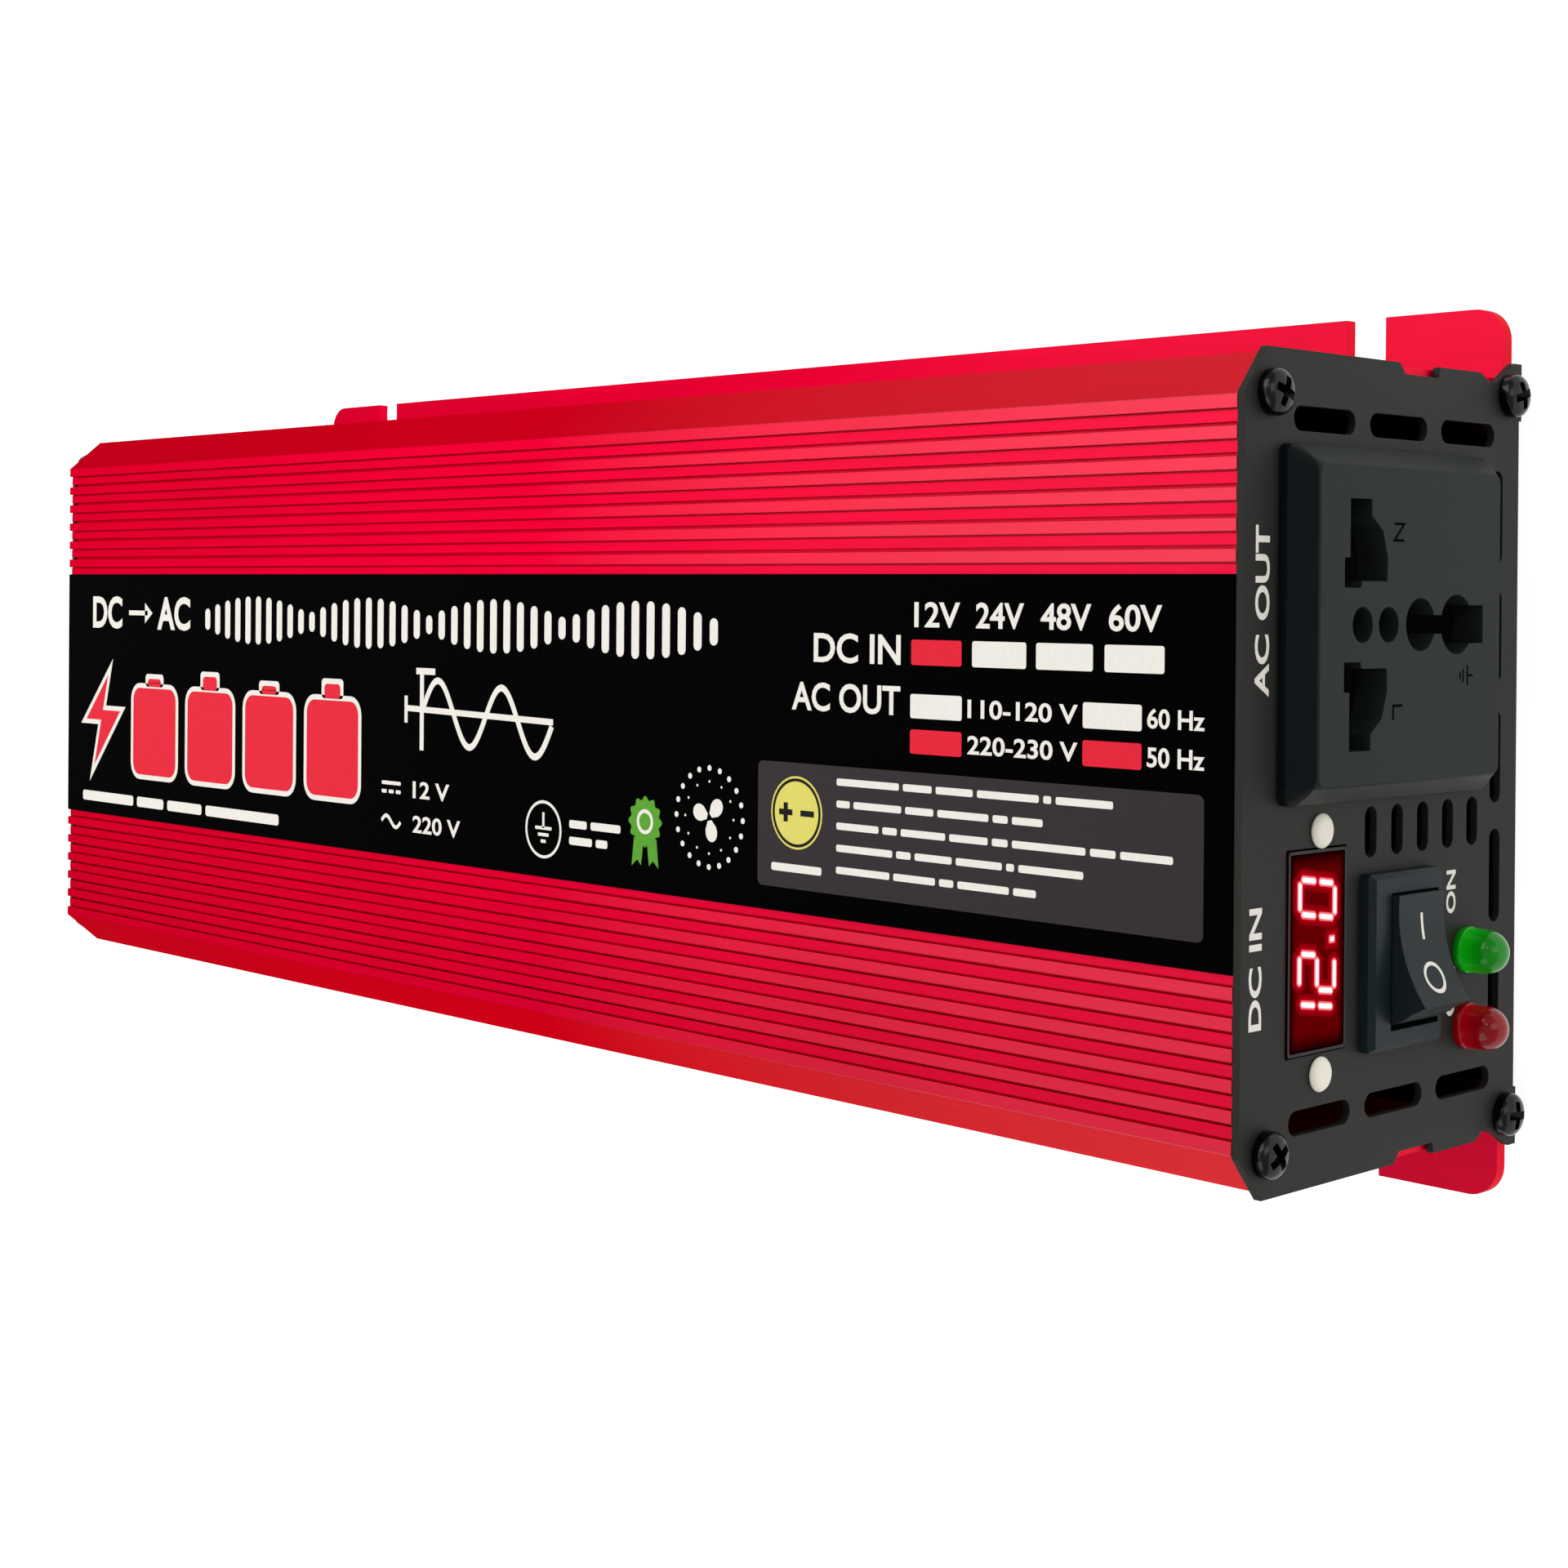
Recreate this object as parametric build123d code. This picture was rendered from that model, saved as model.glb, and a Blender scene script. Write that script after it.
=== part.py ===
from build123d import *
import math
import os

# Power inverter, in millimetres. +Z is the normal of the labelled face, +X runs to the socket end,
# and the origin is the centre of the base's underside.

# Case extrusion
case_len = 279.0
case_half_w = 49.25
case_h = 62.2
case_wall = 2.2
roof_t = 2.8
corner_y = 5.45
corner_z = 6.4
rib_start = 22.9
rib_pitch = 3.55
land_w = 1.6
land_drop = 0.5
groove_w = 0.45
groove_drop = 1.5
seam_w = 0.2
seam_drop = 1.0
label_half_w = 23.1
label_t = 0.35
label_proud = 0.1
label_end_gap = 0.1
channel_r = 1.5
channel_wall = 1.6
upper_screw_inset_y = 5.0
upper_screw_inset_z = 5.3

# Base extrusion
flange_reach = 9.7
flange_t = 2.0
flange_corner_r = 4.2
flange_end_gap = 1.0
notch_w = 6.2
front_notch_x = 22.1
rear_notch_x = 21.3
notch_floor_gap = 1.1
curb_w = 5.65
curb_h = 5.3
lower_screw_inset_y = 2.3
lower_screw_rise = 1.9
tongue_w = 1.5
tongue_gap = 0.2
tongue_floor_gap = 1.2
shelf_t = 1.7

# End plates and their screws
plate_t = 1.0
plate_overhang = 0.35
plate_top_drop = 0.1
plate_corner_z = 4.4
rear_inset = (0.85, 1.0)
rear_corner = (4.65, 5.5)
plate_base_gap = 1.5
notch_inset = 1.4
notch_z = (20.8, 21.0, 28.6, 29.9)
dip_inset = 1.0
dip_z = (7.2, 9.3, 10.9)
ear_reach = 1.7
ear_z = (0.9, 2.7)
ear_w = 7.5
screw_shank_r = 1.45
screw_hole_r = 1.7
screw_len = 12.0
screw_head_r = 2.8
screw_head_h = 2.2
crown_share = 0.55
recess_floor = 0.35
recess_reach = 0.62
recess_half = 0.4
slot_long = 12.8
slot_w = 3.0
slot_inset_y = 7.7
slot_z = (14.05, 30.05, 46.0)
base_slot_len = 12.1
base_slot_w = 2.6
base_slot_z = 6.75
base_slot_pitch = 15.5
small_slot_y = -8.1
small_slot_len = 6.25
small_slot_w = 2.6
small_slot_z = 23.95
small_slot_pitch = 5.8
rear_slot_shift = (-1.0, 4.0)
rear_slot_share = 0.7
rear_slot_drop = 1.2

# Socket
socket_y = 17.25
socket_z = 33.7
socket_w = 42.4
socket_h = 44.2
cover_drop = 0.5
cover_corner_r = 1.2
socket_proud = 4.3
socket_edge = 1.2
bevel_y = 2.3
bevel_z = 2.3
socket_body_w = 37.8
socket_body_h = 40.6
socket_body_depth = 21.0
socket_pocket_depth = 14.0
cutout_gap = 0.2
pin_hole_r = 2.15
earth_hole_r = 3.25
contact_t = 0.6
tail_len = 4.0
tail_half = 2.5
contact_fit = 0.1
mouth_gap = 1.5
pin_z = (10.55, 5.0)
blade_opening = (
    (4.4, 14.4), (7.95, 14.4), (7.95, 13.25), (14.95, 13.25), (14.95, 8.75), (13.0, 8.75),
    (11.2, 6.35), (7.9, 5.25), (5.2, 5.4), (5.2, 10.7), (4.4, 11.0),
)
blade_pocket_y = (4.2, 15.2)
blade_pocket_z = (4.8, 14.8)
earth_pocket_half = 4.1
earth_pocket_z = (-17.0, 1.6)
earth_hole_z = -2.0
earth_neck = (2.3, 3.0)
earth_neck_z = -6.0
earth_low_r = 3.7
earth_low_z = -10.2
earth_slot = (4.75, 3.6)
earth_slot_z = -14.5

# Rocker switch
rocker_y = -24.0
rocker_z = 28.6
bezel_w = 21.8
bezel_h = 16.0
bezel_rise = 1.3
bezel_edge = 0.7
bezel_proud = 2.0
rocker_body_w = 19.2
rocker_body_h = 13.0
rocker_depth = 12.0
rocker_open_w = 16.8
rocker_open_h = 10.6
rocker_side_gap = 0.3
rocker_end_gap = 0.25
pivot_depth = 2.7
pivot_r = 1.2
pivot_fit = 0.05
rocker_swing = 15.7
rocker_tip_h = 5.7
rocker_tip_y = 6.9
rocker_hollow_r = 18.9
rocker_centre_h = 4.4
rocker_bottom = 2.6
blade_w = 4.8
blade_t = 0.8
blade_len = 8.0
blade_inside = 2.2
blade_pitch = 11.0
rocker_floor_t = 1.5
drive_len = 3.2
drive_half = (1.8, 2.5)
pivot_end_gap = 0.3

# Voltmeter and lamps
meter_y = -21.55
meter_z = 47.0
meter_w = 24.2
meter_h = 12.0
lens_t = 1.4
lens_proud = 0.2
display_depth = 7.8
board_t = 1.2
meter_board_w = 34.0
meter_board_h = 10.0
meter_board_shift = 0.2
lens_corner_r = 0.4
rivet_y = (-7.3, -36.3)
rivet_z = 46.2
rivet_head_r = 2.1
rivet_head_h = 0.8
rivet_r = 1.4
barb_r = 2.0
barb_t = 1.2
rivet_edge_r = 0.35
lamp_y = (-24.5, -34.25)
lamp_z = 13.6
lamp_r = 2.5
lamp_rim_r = 2.95
lamp_len = 7.4
lamp_rim_t = 1.0
lead_pitch = 2.54
lead_w = 0.5
lead_len = 11.0
indicator_half_w = 9.0
indicator_z = (-3.5, 4.5)

# Fan
fan_size = 50.0
fan_depth = 15.0
fan_z = 31.5
fan_wall = 1.0
fan_hole_inset = 5.0
fan_screw_r = 1.95
fan_hole_r = 2.15
fan_flange_t = 2.8
hub_r = 11.2
hub_wall = 1.3
stator_r = 9.0
fan_shaft_r = 1.0
fan_shaft_fit = 0.05
blade_tip_gap = 0.8
fan_blades = 7
guard_wire_r = 0.8
guard_ring_inset = 4.0
guard_ring_step = 6.0
guard_ring_count = 3
guard_ring_lift = 1.1
guard_loop_r = 3.0
fan_lip = 0.5
fan_corner_r = 3.5
barrel_gap = 0.1
strut_w = 3.0
strut_t = 2.0
strut_bite = 0.4
motor_len = 8.0
motor_rim = 1.0
shaft_cap_t = 0.8
shaft_start = 0.5
shaft_end_gap = 0.6
rotor_front_gap = 1.7
rotor_back_gap = 2.8
hub_face_t = 1.7
hub_edge_r = 1.2
vane_angle = 38.0
vane_chord = 13.5
vane_t = 1.2
fan_head_r = 3.7
fan_head_h = 2.4
fan_screw_spare = 2.5
fan_nut_half = 3.5
fan_nut_t = 2.4

# DC terminals
stud_y = 36.5
stud_z = 31.5
stud_r = 4.0
stud_tip_gap = 0.8
stud_in = 18.0
bushing_r = 8.5
bushing_t = 3.0
bushing_sleeve_r = 6.4
collar_t = 3.0
collar_flat = 13.0
washer_r = 7.5
washer_t = 1.2
face_gap = 0.05
knob_r = 9.0
knob_len = 14.0
knob_cap_t = 1.6
knob_flutes = 10
insert_r = 5.6
thread_fit = 0.05
strap_w = 12.0
strap_t = 1.5
strap_above = 7.0
strap_foot = 10.0
loose_fit = 0.1
bushing_inner_t = 2.5
bushing_edge_r = 0.8
stud_edge = 0.6
stud_nut_half = 6.5
stud_nut_t = 5.0
knob_edge_r = 1.8
flute_offset = 1.0
flute_r = 1.9
flute_stop = 3.0

# Circuit board and what stands on it
pcb_rear_gap = 21.5
pcb_front_gap = 27.5
pcb_side_gap = 1.4
pcb_t = 1.6
standoff_h = 6.0
standoff_r = 3.0
board_screw_x = (-98.0, 0.0, 98.0)
board_screw_y = 33.0
board_hole_r = 1.6
transformer_x = (-45.0, 5.0)
core_w = 40.0
core_h = 42.0
core_depth = 15.0
core_yoke = 7.0
core_leg = 12.0
winding_t = 7.6
winding_gap = 0.2
bobbin_t = 2.4
fet_w = 10.0
fet_t = 4.5
fet_h = 15.0
fet_z = 14.0
leg_pitch = 2.54
leg_w = 0.8
leg_t = 0.7
leg_z = 12.2
leg_edge_gap = 0.6
leg_inset = 2.0
pad_t = 0.3
input_fet_x = (-88.0, -74.0, -60.0, -46.0)
output_fet_x = (42.0, 56.0, 70.0)
clamp_t = 1.5
clamp_h = 8.0
clamp_share = 0.6
clamp_end = 6.5
clamp_skin = 0.5
clamp_tip_gap = 0.2
driver_gap_x = 25.0
driver_half_w = 24.0
driver_h = 30.0
chip_y = (-14.0, 0.0, 14.0)
chip_half = 4.0
chip_z = (9.0, 21.0)
chip_t = 1.6
winding_corner_r = 5.0
bobbin_half = (15.0, 17.0)
can_edge_r = 0.8
crimp_z = (3.0, 4.0)
crimp_depth = 0.4
can_shift_x = 8.0
input_can = (6.25, 25.0)
input_can_y = (-24.0, -8.0, 8.0, 24.0)
bulk_can = (9.0, 36.0)
bulk_can_y = (-12.0, 12.0)
choke_r = 11.0
choke_core_r = 4.6
choke_wire = (4.7, 6.0)
choke_open_w = 9.0
choke_shift_x = 14.0
choke_y = -8.0
fuse_count = 3
fuse_start = 6.0
fuse_pitch = 8.0
fuse_tab_y = (2.5, 7.5)
fuse_tab_t = 0.8
fuse_body_half = (2.5, 9.5)
fuse_body_z = (4.0, 15.0)
buzzer_r = 6.0
buzzer_h = 9.5
buzzer_y = 22.0
buzzer_shift_x = 10.0
lead_r = 1.4
lead_reach = 12.0
lead_bend_r = 5.4

# Worked out from the sizes above
end_x = case_len / 2
flange_half_w = case_half_w + flange_reach
face_x = end_x + plate_t
curb_top = flange_t + curb_h
curb_in = case_half_w - curb_w
wall_in = case_half_w - case_wall
lower_screw = (case_half_w - lower_screw_inset_y, flange_t + lower_screw_rise)
upper_screw = (case_half_w - upper_screw_inset_y, case_h - upper_screw_inset_z)
plate_half_w = case_half_w + plate_overhang
plate_top = case_h - plate_top_drop
pcb_x = (pcb_rear_gap - end_x, end_x - pcb_front_gap)
pcb_half_w = curb_in - tongue_gap - tongue_w - pcb_side_gap
pcb_bottom = flange_t + standoff_h
pcb_top = pcb_bottom + pcb_t
bezel_x = face_x + bezel_proud
fan_bore_r = fan_size / 2 - fan_wall
fan_hole_pitch = fan_size - 2 * fan_hole_inset
pivot_x = bezel_x - pivot_depth
rocker_r = rocker_open_w / 2 - rocker_end_gap
fet_y = wall_in - pad_t - fet_t
stud_seat_x = -face_x - bushing_t
collar_x = stud_seat_x - collar_t
washer_x = collar_x - face_gap - washer_t
knob_x = washer_x - face_gap - knob_len


def box(x, y, z):
    """A block between the pairs of limits x, y and z."""
    middle = Pos((x[0] + x[1]) / 2, (y[0] + y[1]) / 2, (z[0] + z[1]) / 2)
    return middle * Box(x[1] - x[0], y[1] - y[0], z[1] - z[0])


def slab(outline, x0, x1):
    """The solid between x0 and x1 whose outline is drawn in (y, z)."""
    return extrude(Plane.YZ.offset(x0) * outline, amount=x1 - x0, dir=(1, 0, 0))


def rod(x0, x1, y, z, r):
    """A cylinder along X."""
    return Pos((x0 + x1) / 2, y, z) * Rot(0, 90, 0) * Cylinder(r, x1 - x0)


def post(x, y, z0, z1, r):
    """A cylinder along Z."""
    return Pos(x, y, (z0 + z1) / 2) * Cylinder(r, z1 - z0)


def crossbar(x, y0, y1, z, r):
    """A cylinder along Y."""
    return Pos(x, (y0 + y1) / 2, z) * Rot(90, 0, 0) * Cylinder(r, y1 - y0)


def slot(y, z, along_y, along_z):
    """A round-ended slot's outline at (y, z)."""
    if along_z > along_y:
        return Pos(y, z) * SlotOverall(along_z, along_y, rotation=90)
    return Pos(y, z) * SlotOverall(along_y, along_z)


def mirrored(outline):
    """A closed outline from the points of its +Y half, given clockwise: their images, then themselves."""
    return [(-y, z) for y, z in outline] + outline[::-1]


def case_shell():
    """Ribbed roof, bevelled corners, side walls with a tongue behind the curb, and screw channels."""
    band_z = case_h - label_t + label_proud
    rib_count = round((case_half_w - corner_y - rib_start) / rib_pitch)
    outside = [(label_half_w, band_z)]
    for k in range(rib_count):
        start = rib_start + k * rib_pitch
        foot = start + land_w
        outside += [(max(start, label_half_w), case_h - land_drop), (foot - seam_w, case_h - land_drop)]
        outside += [(foot - seam_w, case_h - seam_drop), (foot, case_h - seam_drop), (foot, case_h)]
        if k < rib_count - 1:
            end = start + rib_pitch
            outside += [(end - groove_w, case_h), (end - groove_w, case_h - groove_drop)]
            outside += [(end, case_h - groove_drop)]
    outside += [(case_half_w - corner_y, case_h), (case_half_w, case_h - corner_z), (case_half_w, curb_top)]
    tongue_out = curb_in - tongue_gap
    inside = [(tongue_out, curb_top), (tongue_out, flange_t + tongue_floor_gap)]
    tongue_in = tongue_out - tongue_w
    inside += [(tongue_in, flange_t + tongue_floor_gap), (tongue_in, curb_top + shelf_t)]
    inside += [(wall_in, curb_top + shelf_t), (wall_in, case_h - corner_z - case_wall / 3)]
    inside += [(wall_in - corner_y, case_h - roof_t)]
    envelope = Polygon(*mirrored(outside), align=None)
    section = Polygon(*mirrored(outside + inside), align=None)
    for side in (1, -1):
        y, z = side * upper_screw[0], upper_screw[1]
        section += Pos(y, z) * Circle(channel_r + channel_wall) & envelope
        section -= Pos(y, z) * Circle(channel_r)
    shell = slab(section, -end_x, end_x)
    for x in clamp_screw_x():
        shell -= crossbar(x, wall_in - 1, wall_in + case_wall - clamp_skin, clamp_z(), channel_r)
        shell -= crossbar(x, clamp_skin - wall_in - case_wall, 1 - wall_in, clamp_z(), channel_r)
    return shell


def label_sheet():
    """Printed sheet in the flat band of the roof."""
    x = end_x - label_end_gap
    z = case_h + label_proud
    return box((-x, x), (-label_half_w, label_half_w), (z - label_t, z))


def base_plate():
    """Flanged base with open mounting notches and a curb each side that holds a screw channel."""
    plate = Pos(0, 0, flange_t / 2) * Box(case_len - 2 * flange_end_gap, 2 * flange_half_w, flange_t)
    plate = fillet(plate.edges().filter_by(Axis.Z), flange_corner_r)
    plate += box((-end_x, end_x), (-case_half_w, case_half_w), (0, flange_t))
    floor_y = case_half_w + notch_floor_gap + notch_w / 2
    for side in (1, -1):
        curb = side * (case_half_w - curb_w / 2)
        plate += Pos(0, curb, flange_t + curb_h / 2) * Box(case_len, curb_w, curb_h)
        for x in (end_x - front_notch_x, rear_notch_x - end_x):
            plate -= post(x, side * floor_y, -1, flange_t + 1, notch_w / 2)
            mouth = (side * floor_y, side * (flange_half_w + 1))
            plate -= box((x - notch_w / 2, x + notch_w / 2), sorted(mouth), (-1, flange_t + 1))
    for side in (1, -1):
        plate -= rod(-end_x - 1, end_x + 1, side * lower_screw[0], lower_screw[1], channel_r)
    return plate


def plate_outline(inset_y, inset_z, corner):
    """End plate outline: bevelled corners, a notch and a dip in each side, and an ear by each lower screw."""
    w, top, ear = plate_half_w - inset_y, plate_top - inset_z, plate_half_w + ear_reach
    side = [(w - corner[0], top), (w, top - corner[1]), (w, notch_z[3]), (w - notch_inset, notch_z[2])]
    side += [(w - notch_inset, notch_z[1]), (w, notch_z[0]), (w, dip_z[2]), (w - dip_inset, dip_z[1])]
    side += [(w - dip_inset, dip_z[0]), (ear, ear_z[1]), (ear, ear_z[0])]
    side += [(ear - ear_w, ear_z[0]), (ear - ear_w, plate_base_gap)]
    return Polygon(*mirrored(side), align=None)


def screw_points():
    """Centres (y, z) of the four screws of an end plate."""
    return [(s * y, z) for y, z in (upper_screw, lower_screw) for s in (1, -1)]


def side_slots():
    """The vent slots beside both long edges and along the base edge."""
    slots = Sketch()
    for side in (1, -1):
        for z in slot_z:
            slots += slot(side * (case_half_w - slot_inset_y), z, slot_w, slot_long)
    for k in range(-2, 3):
        slots += slot(k * base_slot_pitch, base_slot_z, base_slot_len, base_slot_w)
    return slots


def front_end_plate():
    """Steel plate at the socket end with all its cut-outs."""
    outline = plate_outline(0, 0, (corner_y, plate_corner_z)) - side_slots()
    for k in range(-2, 3):
        z = small_slot_z + k * small_slot_pitch
        outline -= slot(small_slot_y, z, small_slot_len, small_slot_w)
    for y, z in screw_points():
        outline -= Pos(y, z) * Circle(screw_hole_r)
    gap = 2 * cutout_gap
    outline -= Pos(socket_y, socket_z) * Rectangle(socket_body_w + gap, socket_body_h + gap)
    outline -= Pos(rocker_y, rocker_z) * Rectangle(rocker_body_w + gap, rocker_body_h + gap)
    outline -= Pos(meter_y, meter_z) * Rectangle(meter_w + gap, meter_h + gap)
    for y in rivet_y:
        outline -= Pos(y, rivet_z) * Circle(rivet_r + pivot_fit)
    for y in lamp_y:
        outline -= Pos(y, lamp_z) * Circle(lamp_rim_r + pivot_fit)
    return slab(outline, end_x, face_x)


def rear_end_plate():
    """Steel plate at the fan end, inside the case's outline: fan opening, terminal holes and vent slots."""
    outline = plate_outline(*rear_inset, rear_corner) - side_slots_rear()
    for y, z in screw_points():
        outline -= Pos(y, z) * Circle(screw_hole_r)
    outline -= Pos(0, fan_z) * Circle(fan_bore_r - fan_lip)
    for y, z in fan_screw_points():
        outline -= Pos(y, z) * Circle(fan_hole_r)
    for side in (1, -1):
        outline -= Pos(side * stud_y, stud_z) * Circle(bushing_sleeve_r + loose_fit)
    return slab(outline, -face_x, -end_x)


def side_slots_rear():
    """Vent slots of the rear plate, which leave room for the terminals."""
    slots = Sketch()
    for side in (1, -1):
        for z in (slot_z[0] + rear_slot_shift[0], slot_z[2] + rear_slot_shift[1]):
            slots += slot(side * (case_half_w - slot_inset_y), z, slot_w, slot_long * rear_slot_share)
    for k in range(-2, 3):
        slots += slot(k * base_slot_pitch, base_slot_z - rear_slot_drop, base_slot_len, base_slot_w)
    return slots


def pan_screw(x, y, z, out, length, shank_r, head_r, head_h):
    """Cross-recessed pan head screw. Its head rests at x and points along X in the sense of out."""
    head = rod(*sorted((x, x + out * head_h)), y, z, head_r)
    rim = head.edges().filter_by(GeomType.CIRCLE).sort_by(Axis.X)[-1 if out > 0 else 0]
    head = fillet(rim, head_h * crown_share)
    recess = sorted((x + out * head_h * recess_floor, x + out * (head_h + 1)))
    reach = head_r * recess_reach
    for a, b in ((reach, recess_half), (recess_half, reach)):
        head -= box(recess, (y - a, y + a), (z - b, z + b))
    return head + rod(*sorted((x - out * length, x)), y, z, shank_r)


def end_plate_screws():
    """Eight screws, four at each end."""
    screws = []
    for out in (1, -1):
        for y, z in screw_points():
            screw = pan_screw(out * face_x, y, z, out, screw_len, screw_shank_r, screw_head_r, screw_head_h)
            screws.append(screw)
    return Compound(children=screws)


def blade_hole(side):
    """Outline of a flat-pin opening, on one side of the socket's middle line."""
    return Polygon(*[(socket_y + side * y, socket_z + z) for y, z in blade_opening], align=None)


def pocket(side):
    """Limits (y, z) of the pocket behind a flat-pin opening."""
    y = sorted(socket_y + side * limit for limit in blade_pocket_y)
    return y, (socket_z + blade_pocket_z[0], socket_z + blade_pocket_z[1])


def earth_pocket():
    """Limits (y, z) of the pocket behind the earth opening."""
    y = (socket_y - earth_pocket_half, socket_y + earth_pocket_half)
    return y, (socket_z + earth_pocket_z[0], socket_z + earth_pocket_z[1])


def socket_cover():
    """Bevelled front of the universal socket with its plug openings."""
    centre = Pos(socket_y, socket_z - cover_drop)
    foot = centre * RectangleRounded(socket_w, socket_h, cover_corner_r)
    top = centre * RectangleRounded(socket_w - 2 * bevel_y, socket_h - 2 * bevel_z, cover_corner_r)
    cover = slab(foot, face_x, face_x + socket_edge)
    sections = [Plane.YZ.offset(face_x + socket_edge) * foot, Plane.YZ.offset(face_x + socket_proud) * top]
    cover += loft(sections)
    holes = blade_hole(1) + blade_hole(-1)
    for z in pin_z:
        holes += Pos(socket_y, socket_z + z) * Circle(pin_hole_r)
    holes += Pos(socket_y, socket_z + earth_hole_z) * Circle(earth_hole_r)
    holes += Pos(socket_y, socket_z + earth_neck_z) * Rectangle(*earth_neck)
    holes += Pos(socket_y, socket_z + earth_low_z) * Circle(earth_low_r)
    holes += Pos(socket_y, socket_z + earth_slot_z) * Rectangle(*earth_slot)
    return cover - slab(holes, face_x - 1, face_x + socket_proud + 1)


def socket_body():
    """Moulded block behind the cover with a pocket for each contact."""
    outline = Pos(socket_y, socket_z) * Rectangle(socket_body_w, socket_body_h)
    block = slab(outline, face_x - socket_body_depth, face_x)
    floor_x = face_x - socket_pocket_depth
    for y, z in (pocket(1), pocket(-1), earth_pocket()):
        block -= box((floor_x, face_x + 1), y, z)
        middle = ((y[0] + y[1]) / 2, (z[0] + z[1]) / 2)
        tail_gap = tail_half + contact_fit
        tail_y = (middle[0] - tail_gap, middle[0] + tail_gap)
        tail_z = (middle[1] - contact_t, middle[1] + contact_t)
        block -= box((face_x - socket_body_depth - 1, floor_x + 1), tail_y, tail_z)
    for z in pin_z:
        block -= rod(floor_x, face_x + 1, socket_y, socket_z + z, pin_hole_r)
    return block


def socket_contact(limits):
    """Sprung brass contact: two cheeks, a back and a tail through the block."""
    y, z = limits
    floor_x = face_x - socket_pocket_depth
    mouth_x = face_x - mouth_gap
    inset = contact_fit
    contact = box((floor_x + inset, floor_x + inset + contact_t), (y[0] + inset, y[1] - inset),
                  (z[0] + 1, z[1] - 1))
    for cheek in ((y[0] + inset, y[0] + inset + contact_t), (y[1] - inset - contact_t, y[1] - inset)):
        contact += box((floor_x + inset, mouth_x), cheek, (z[0] + 1, z[1] - 1))
    middle = ((y[0] + y[1]) / 2, (z[0] + z[1]) / 2)
    tail_x = face_x - socket_body_depth - tail_len
    contact += box((tail_x, floor_x + 2 * inset), (middle[0] - tail_half, middle[0] + tail_half),
                   (middle[1] - contact_t / 2, middle[1] + contact_t / 2))
    return contact


def rocker_frame():
    """Bezel and hollow body of the rocker switch."""
    centre = Pos(rocker_y, rocker_z)
    rim = Pos(rocker_y, rocker_z + bezel_rise) * RectangleRounded(bezel_w, bezel_h, bezel_edge)
    bezel = slab(rim, face_x, bezel_x)
    bezel = chamfer(bezel.faces().sort_by(Axis.X)[-1].edges(), bezel_edge)
    frame = bezel + slab(centre * Rectangle(rocker_body_w, rocker_body_h), face_x - rocker_depth, face_x)
    floor_x = face_x - rocker_depth + rocker_floor_t
    frame -= slab(centre * Rectangle(rocker_open_w, rocker_open_h), floor_x, bezel_x + 1)
    frame -= Pos(pivot_x, rocker_y, rocker_z) * Cylinder(pivot_r + pivot_fit, rocker_body_h + 1)
    for y in blade_y():
        frame -= box((face_x - rocker_depth - 1, floor_x + 1), (y - blade_t / 2, y + blade_t / 2),
                     (rocker_z - blade_w / 2, rocker_z + blade_w / 2))
    return frame


def blade_y():
    """Places of the two switch blades."""
    return (rocker_y - blade_pitch / 2, rocker_y + blade_pitch / 2)


def rocker_button():
    """Hollow-faced rocker with its pivot stubs, tipped to its ON stop."""
    width = rocker_open_h - 2 * rocker_side_gap
    profile = Circle(rocker_r)
    tips = [(0, -rocker_r), (rocker_tip_h, -rocker_tip_y), (rocker_tip_h, rocker_tip_y), (0, rocker_r)]
    profile += Polygon(*tips, align=None)
    profile -= Pos(-rocker_bottom - rocker_r, 0) * Rectangle(2 * rocker_r, 3 * rocker_r)
    profile -= Pos(rocker_centre_h + rocker_hollow_r, 0) * Circle(rocker_hollow_r)
    profile -= Pos(rocker_tip_h + rocker_r, 0) * Rectangle(2 * rocker_r, 3 * rocker_r)
    button = Pos(0, 0, -width / 2) * extrude(profile, amount=width)
    y, z = drive_half
    button += box((-rocker_bottom - drive_len, -rocker_bottom), (-y, y), (-z, z))
    button += Cylinder(pivot_r, rocker_body_h - 2 * pivot_end_gap)
    return Pos(pivot_x, rocker_y, rocker_z) * Rot(0, 0, rocker_swing) * button


def rocker_terminals():
    """Two spade blades out of the back of the switch."""
    x0 = face_x - rocker_depth - blade_len
    x1 = face_x - rocker_depth + blade_inside
    z = (rocker_z - blade_w / 2, rocker_z + blade_w / 2)
    blades = [box((x0, x1), (y - blade_t / 2, y + blade_t / 2), z) for y in blade_y()]
    return Compound(children=blades)


def voltmeter_lens():
    """Smoked window of the voltmeter."""
    lens = slab(Pos(meter_y, meter_z) * RectangleRounded(meter_w, meter_h, lens_corner_r),
                face_x + lens_proud - lens_t, face_x + lens_proud)
    return lens


def voltmeter_display():
    """Segment display block behind the window."""
    front = face_x + lens_proud - lens_t
    return slab(Pos(meter_y, meter_z) * Rectangle(meter_w, meter_h), front - display_depth, front)


def voltmeter_board():
    """Small board behind the display, held by the two rivets."""
    back = face_x + lens_proud - lens_t - display_depth
    outline = Pos(meter_y - meter_board_shift, meter_z) * Rectangle(meter_board_w, meter_board_h)
    board = slab(outline, back - board_t, back)
    for y in rivet_y:
        board -= rod(back - board_t - 1, back + 1, y, rivet_z, rivet_r + pivot_fit)
    return board


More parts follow.
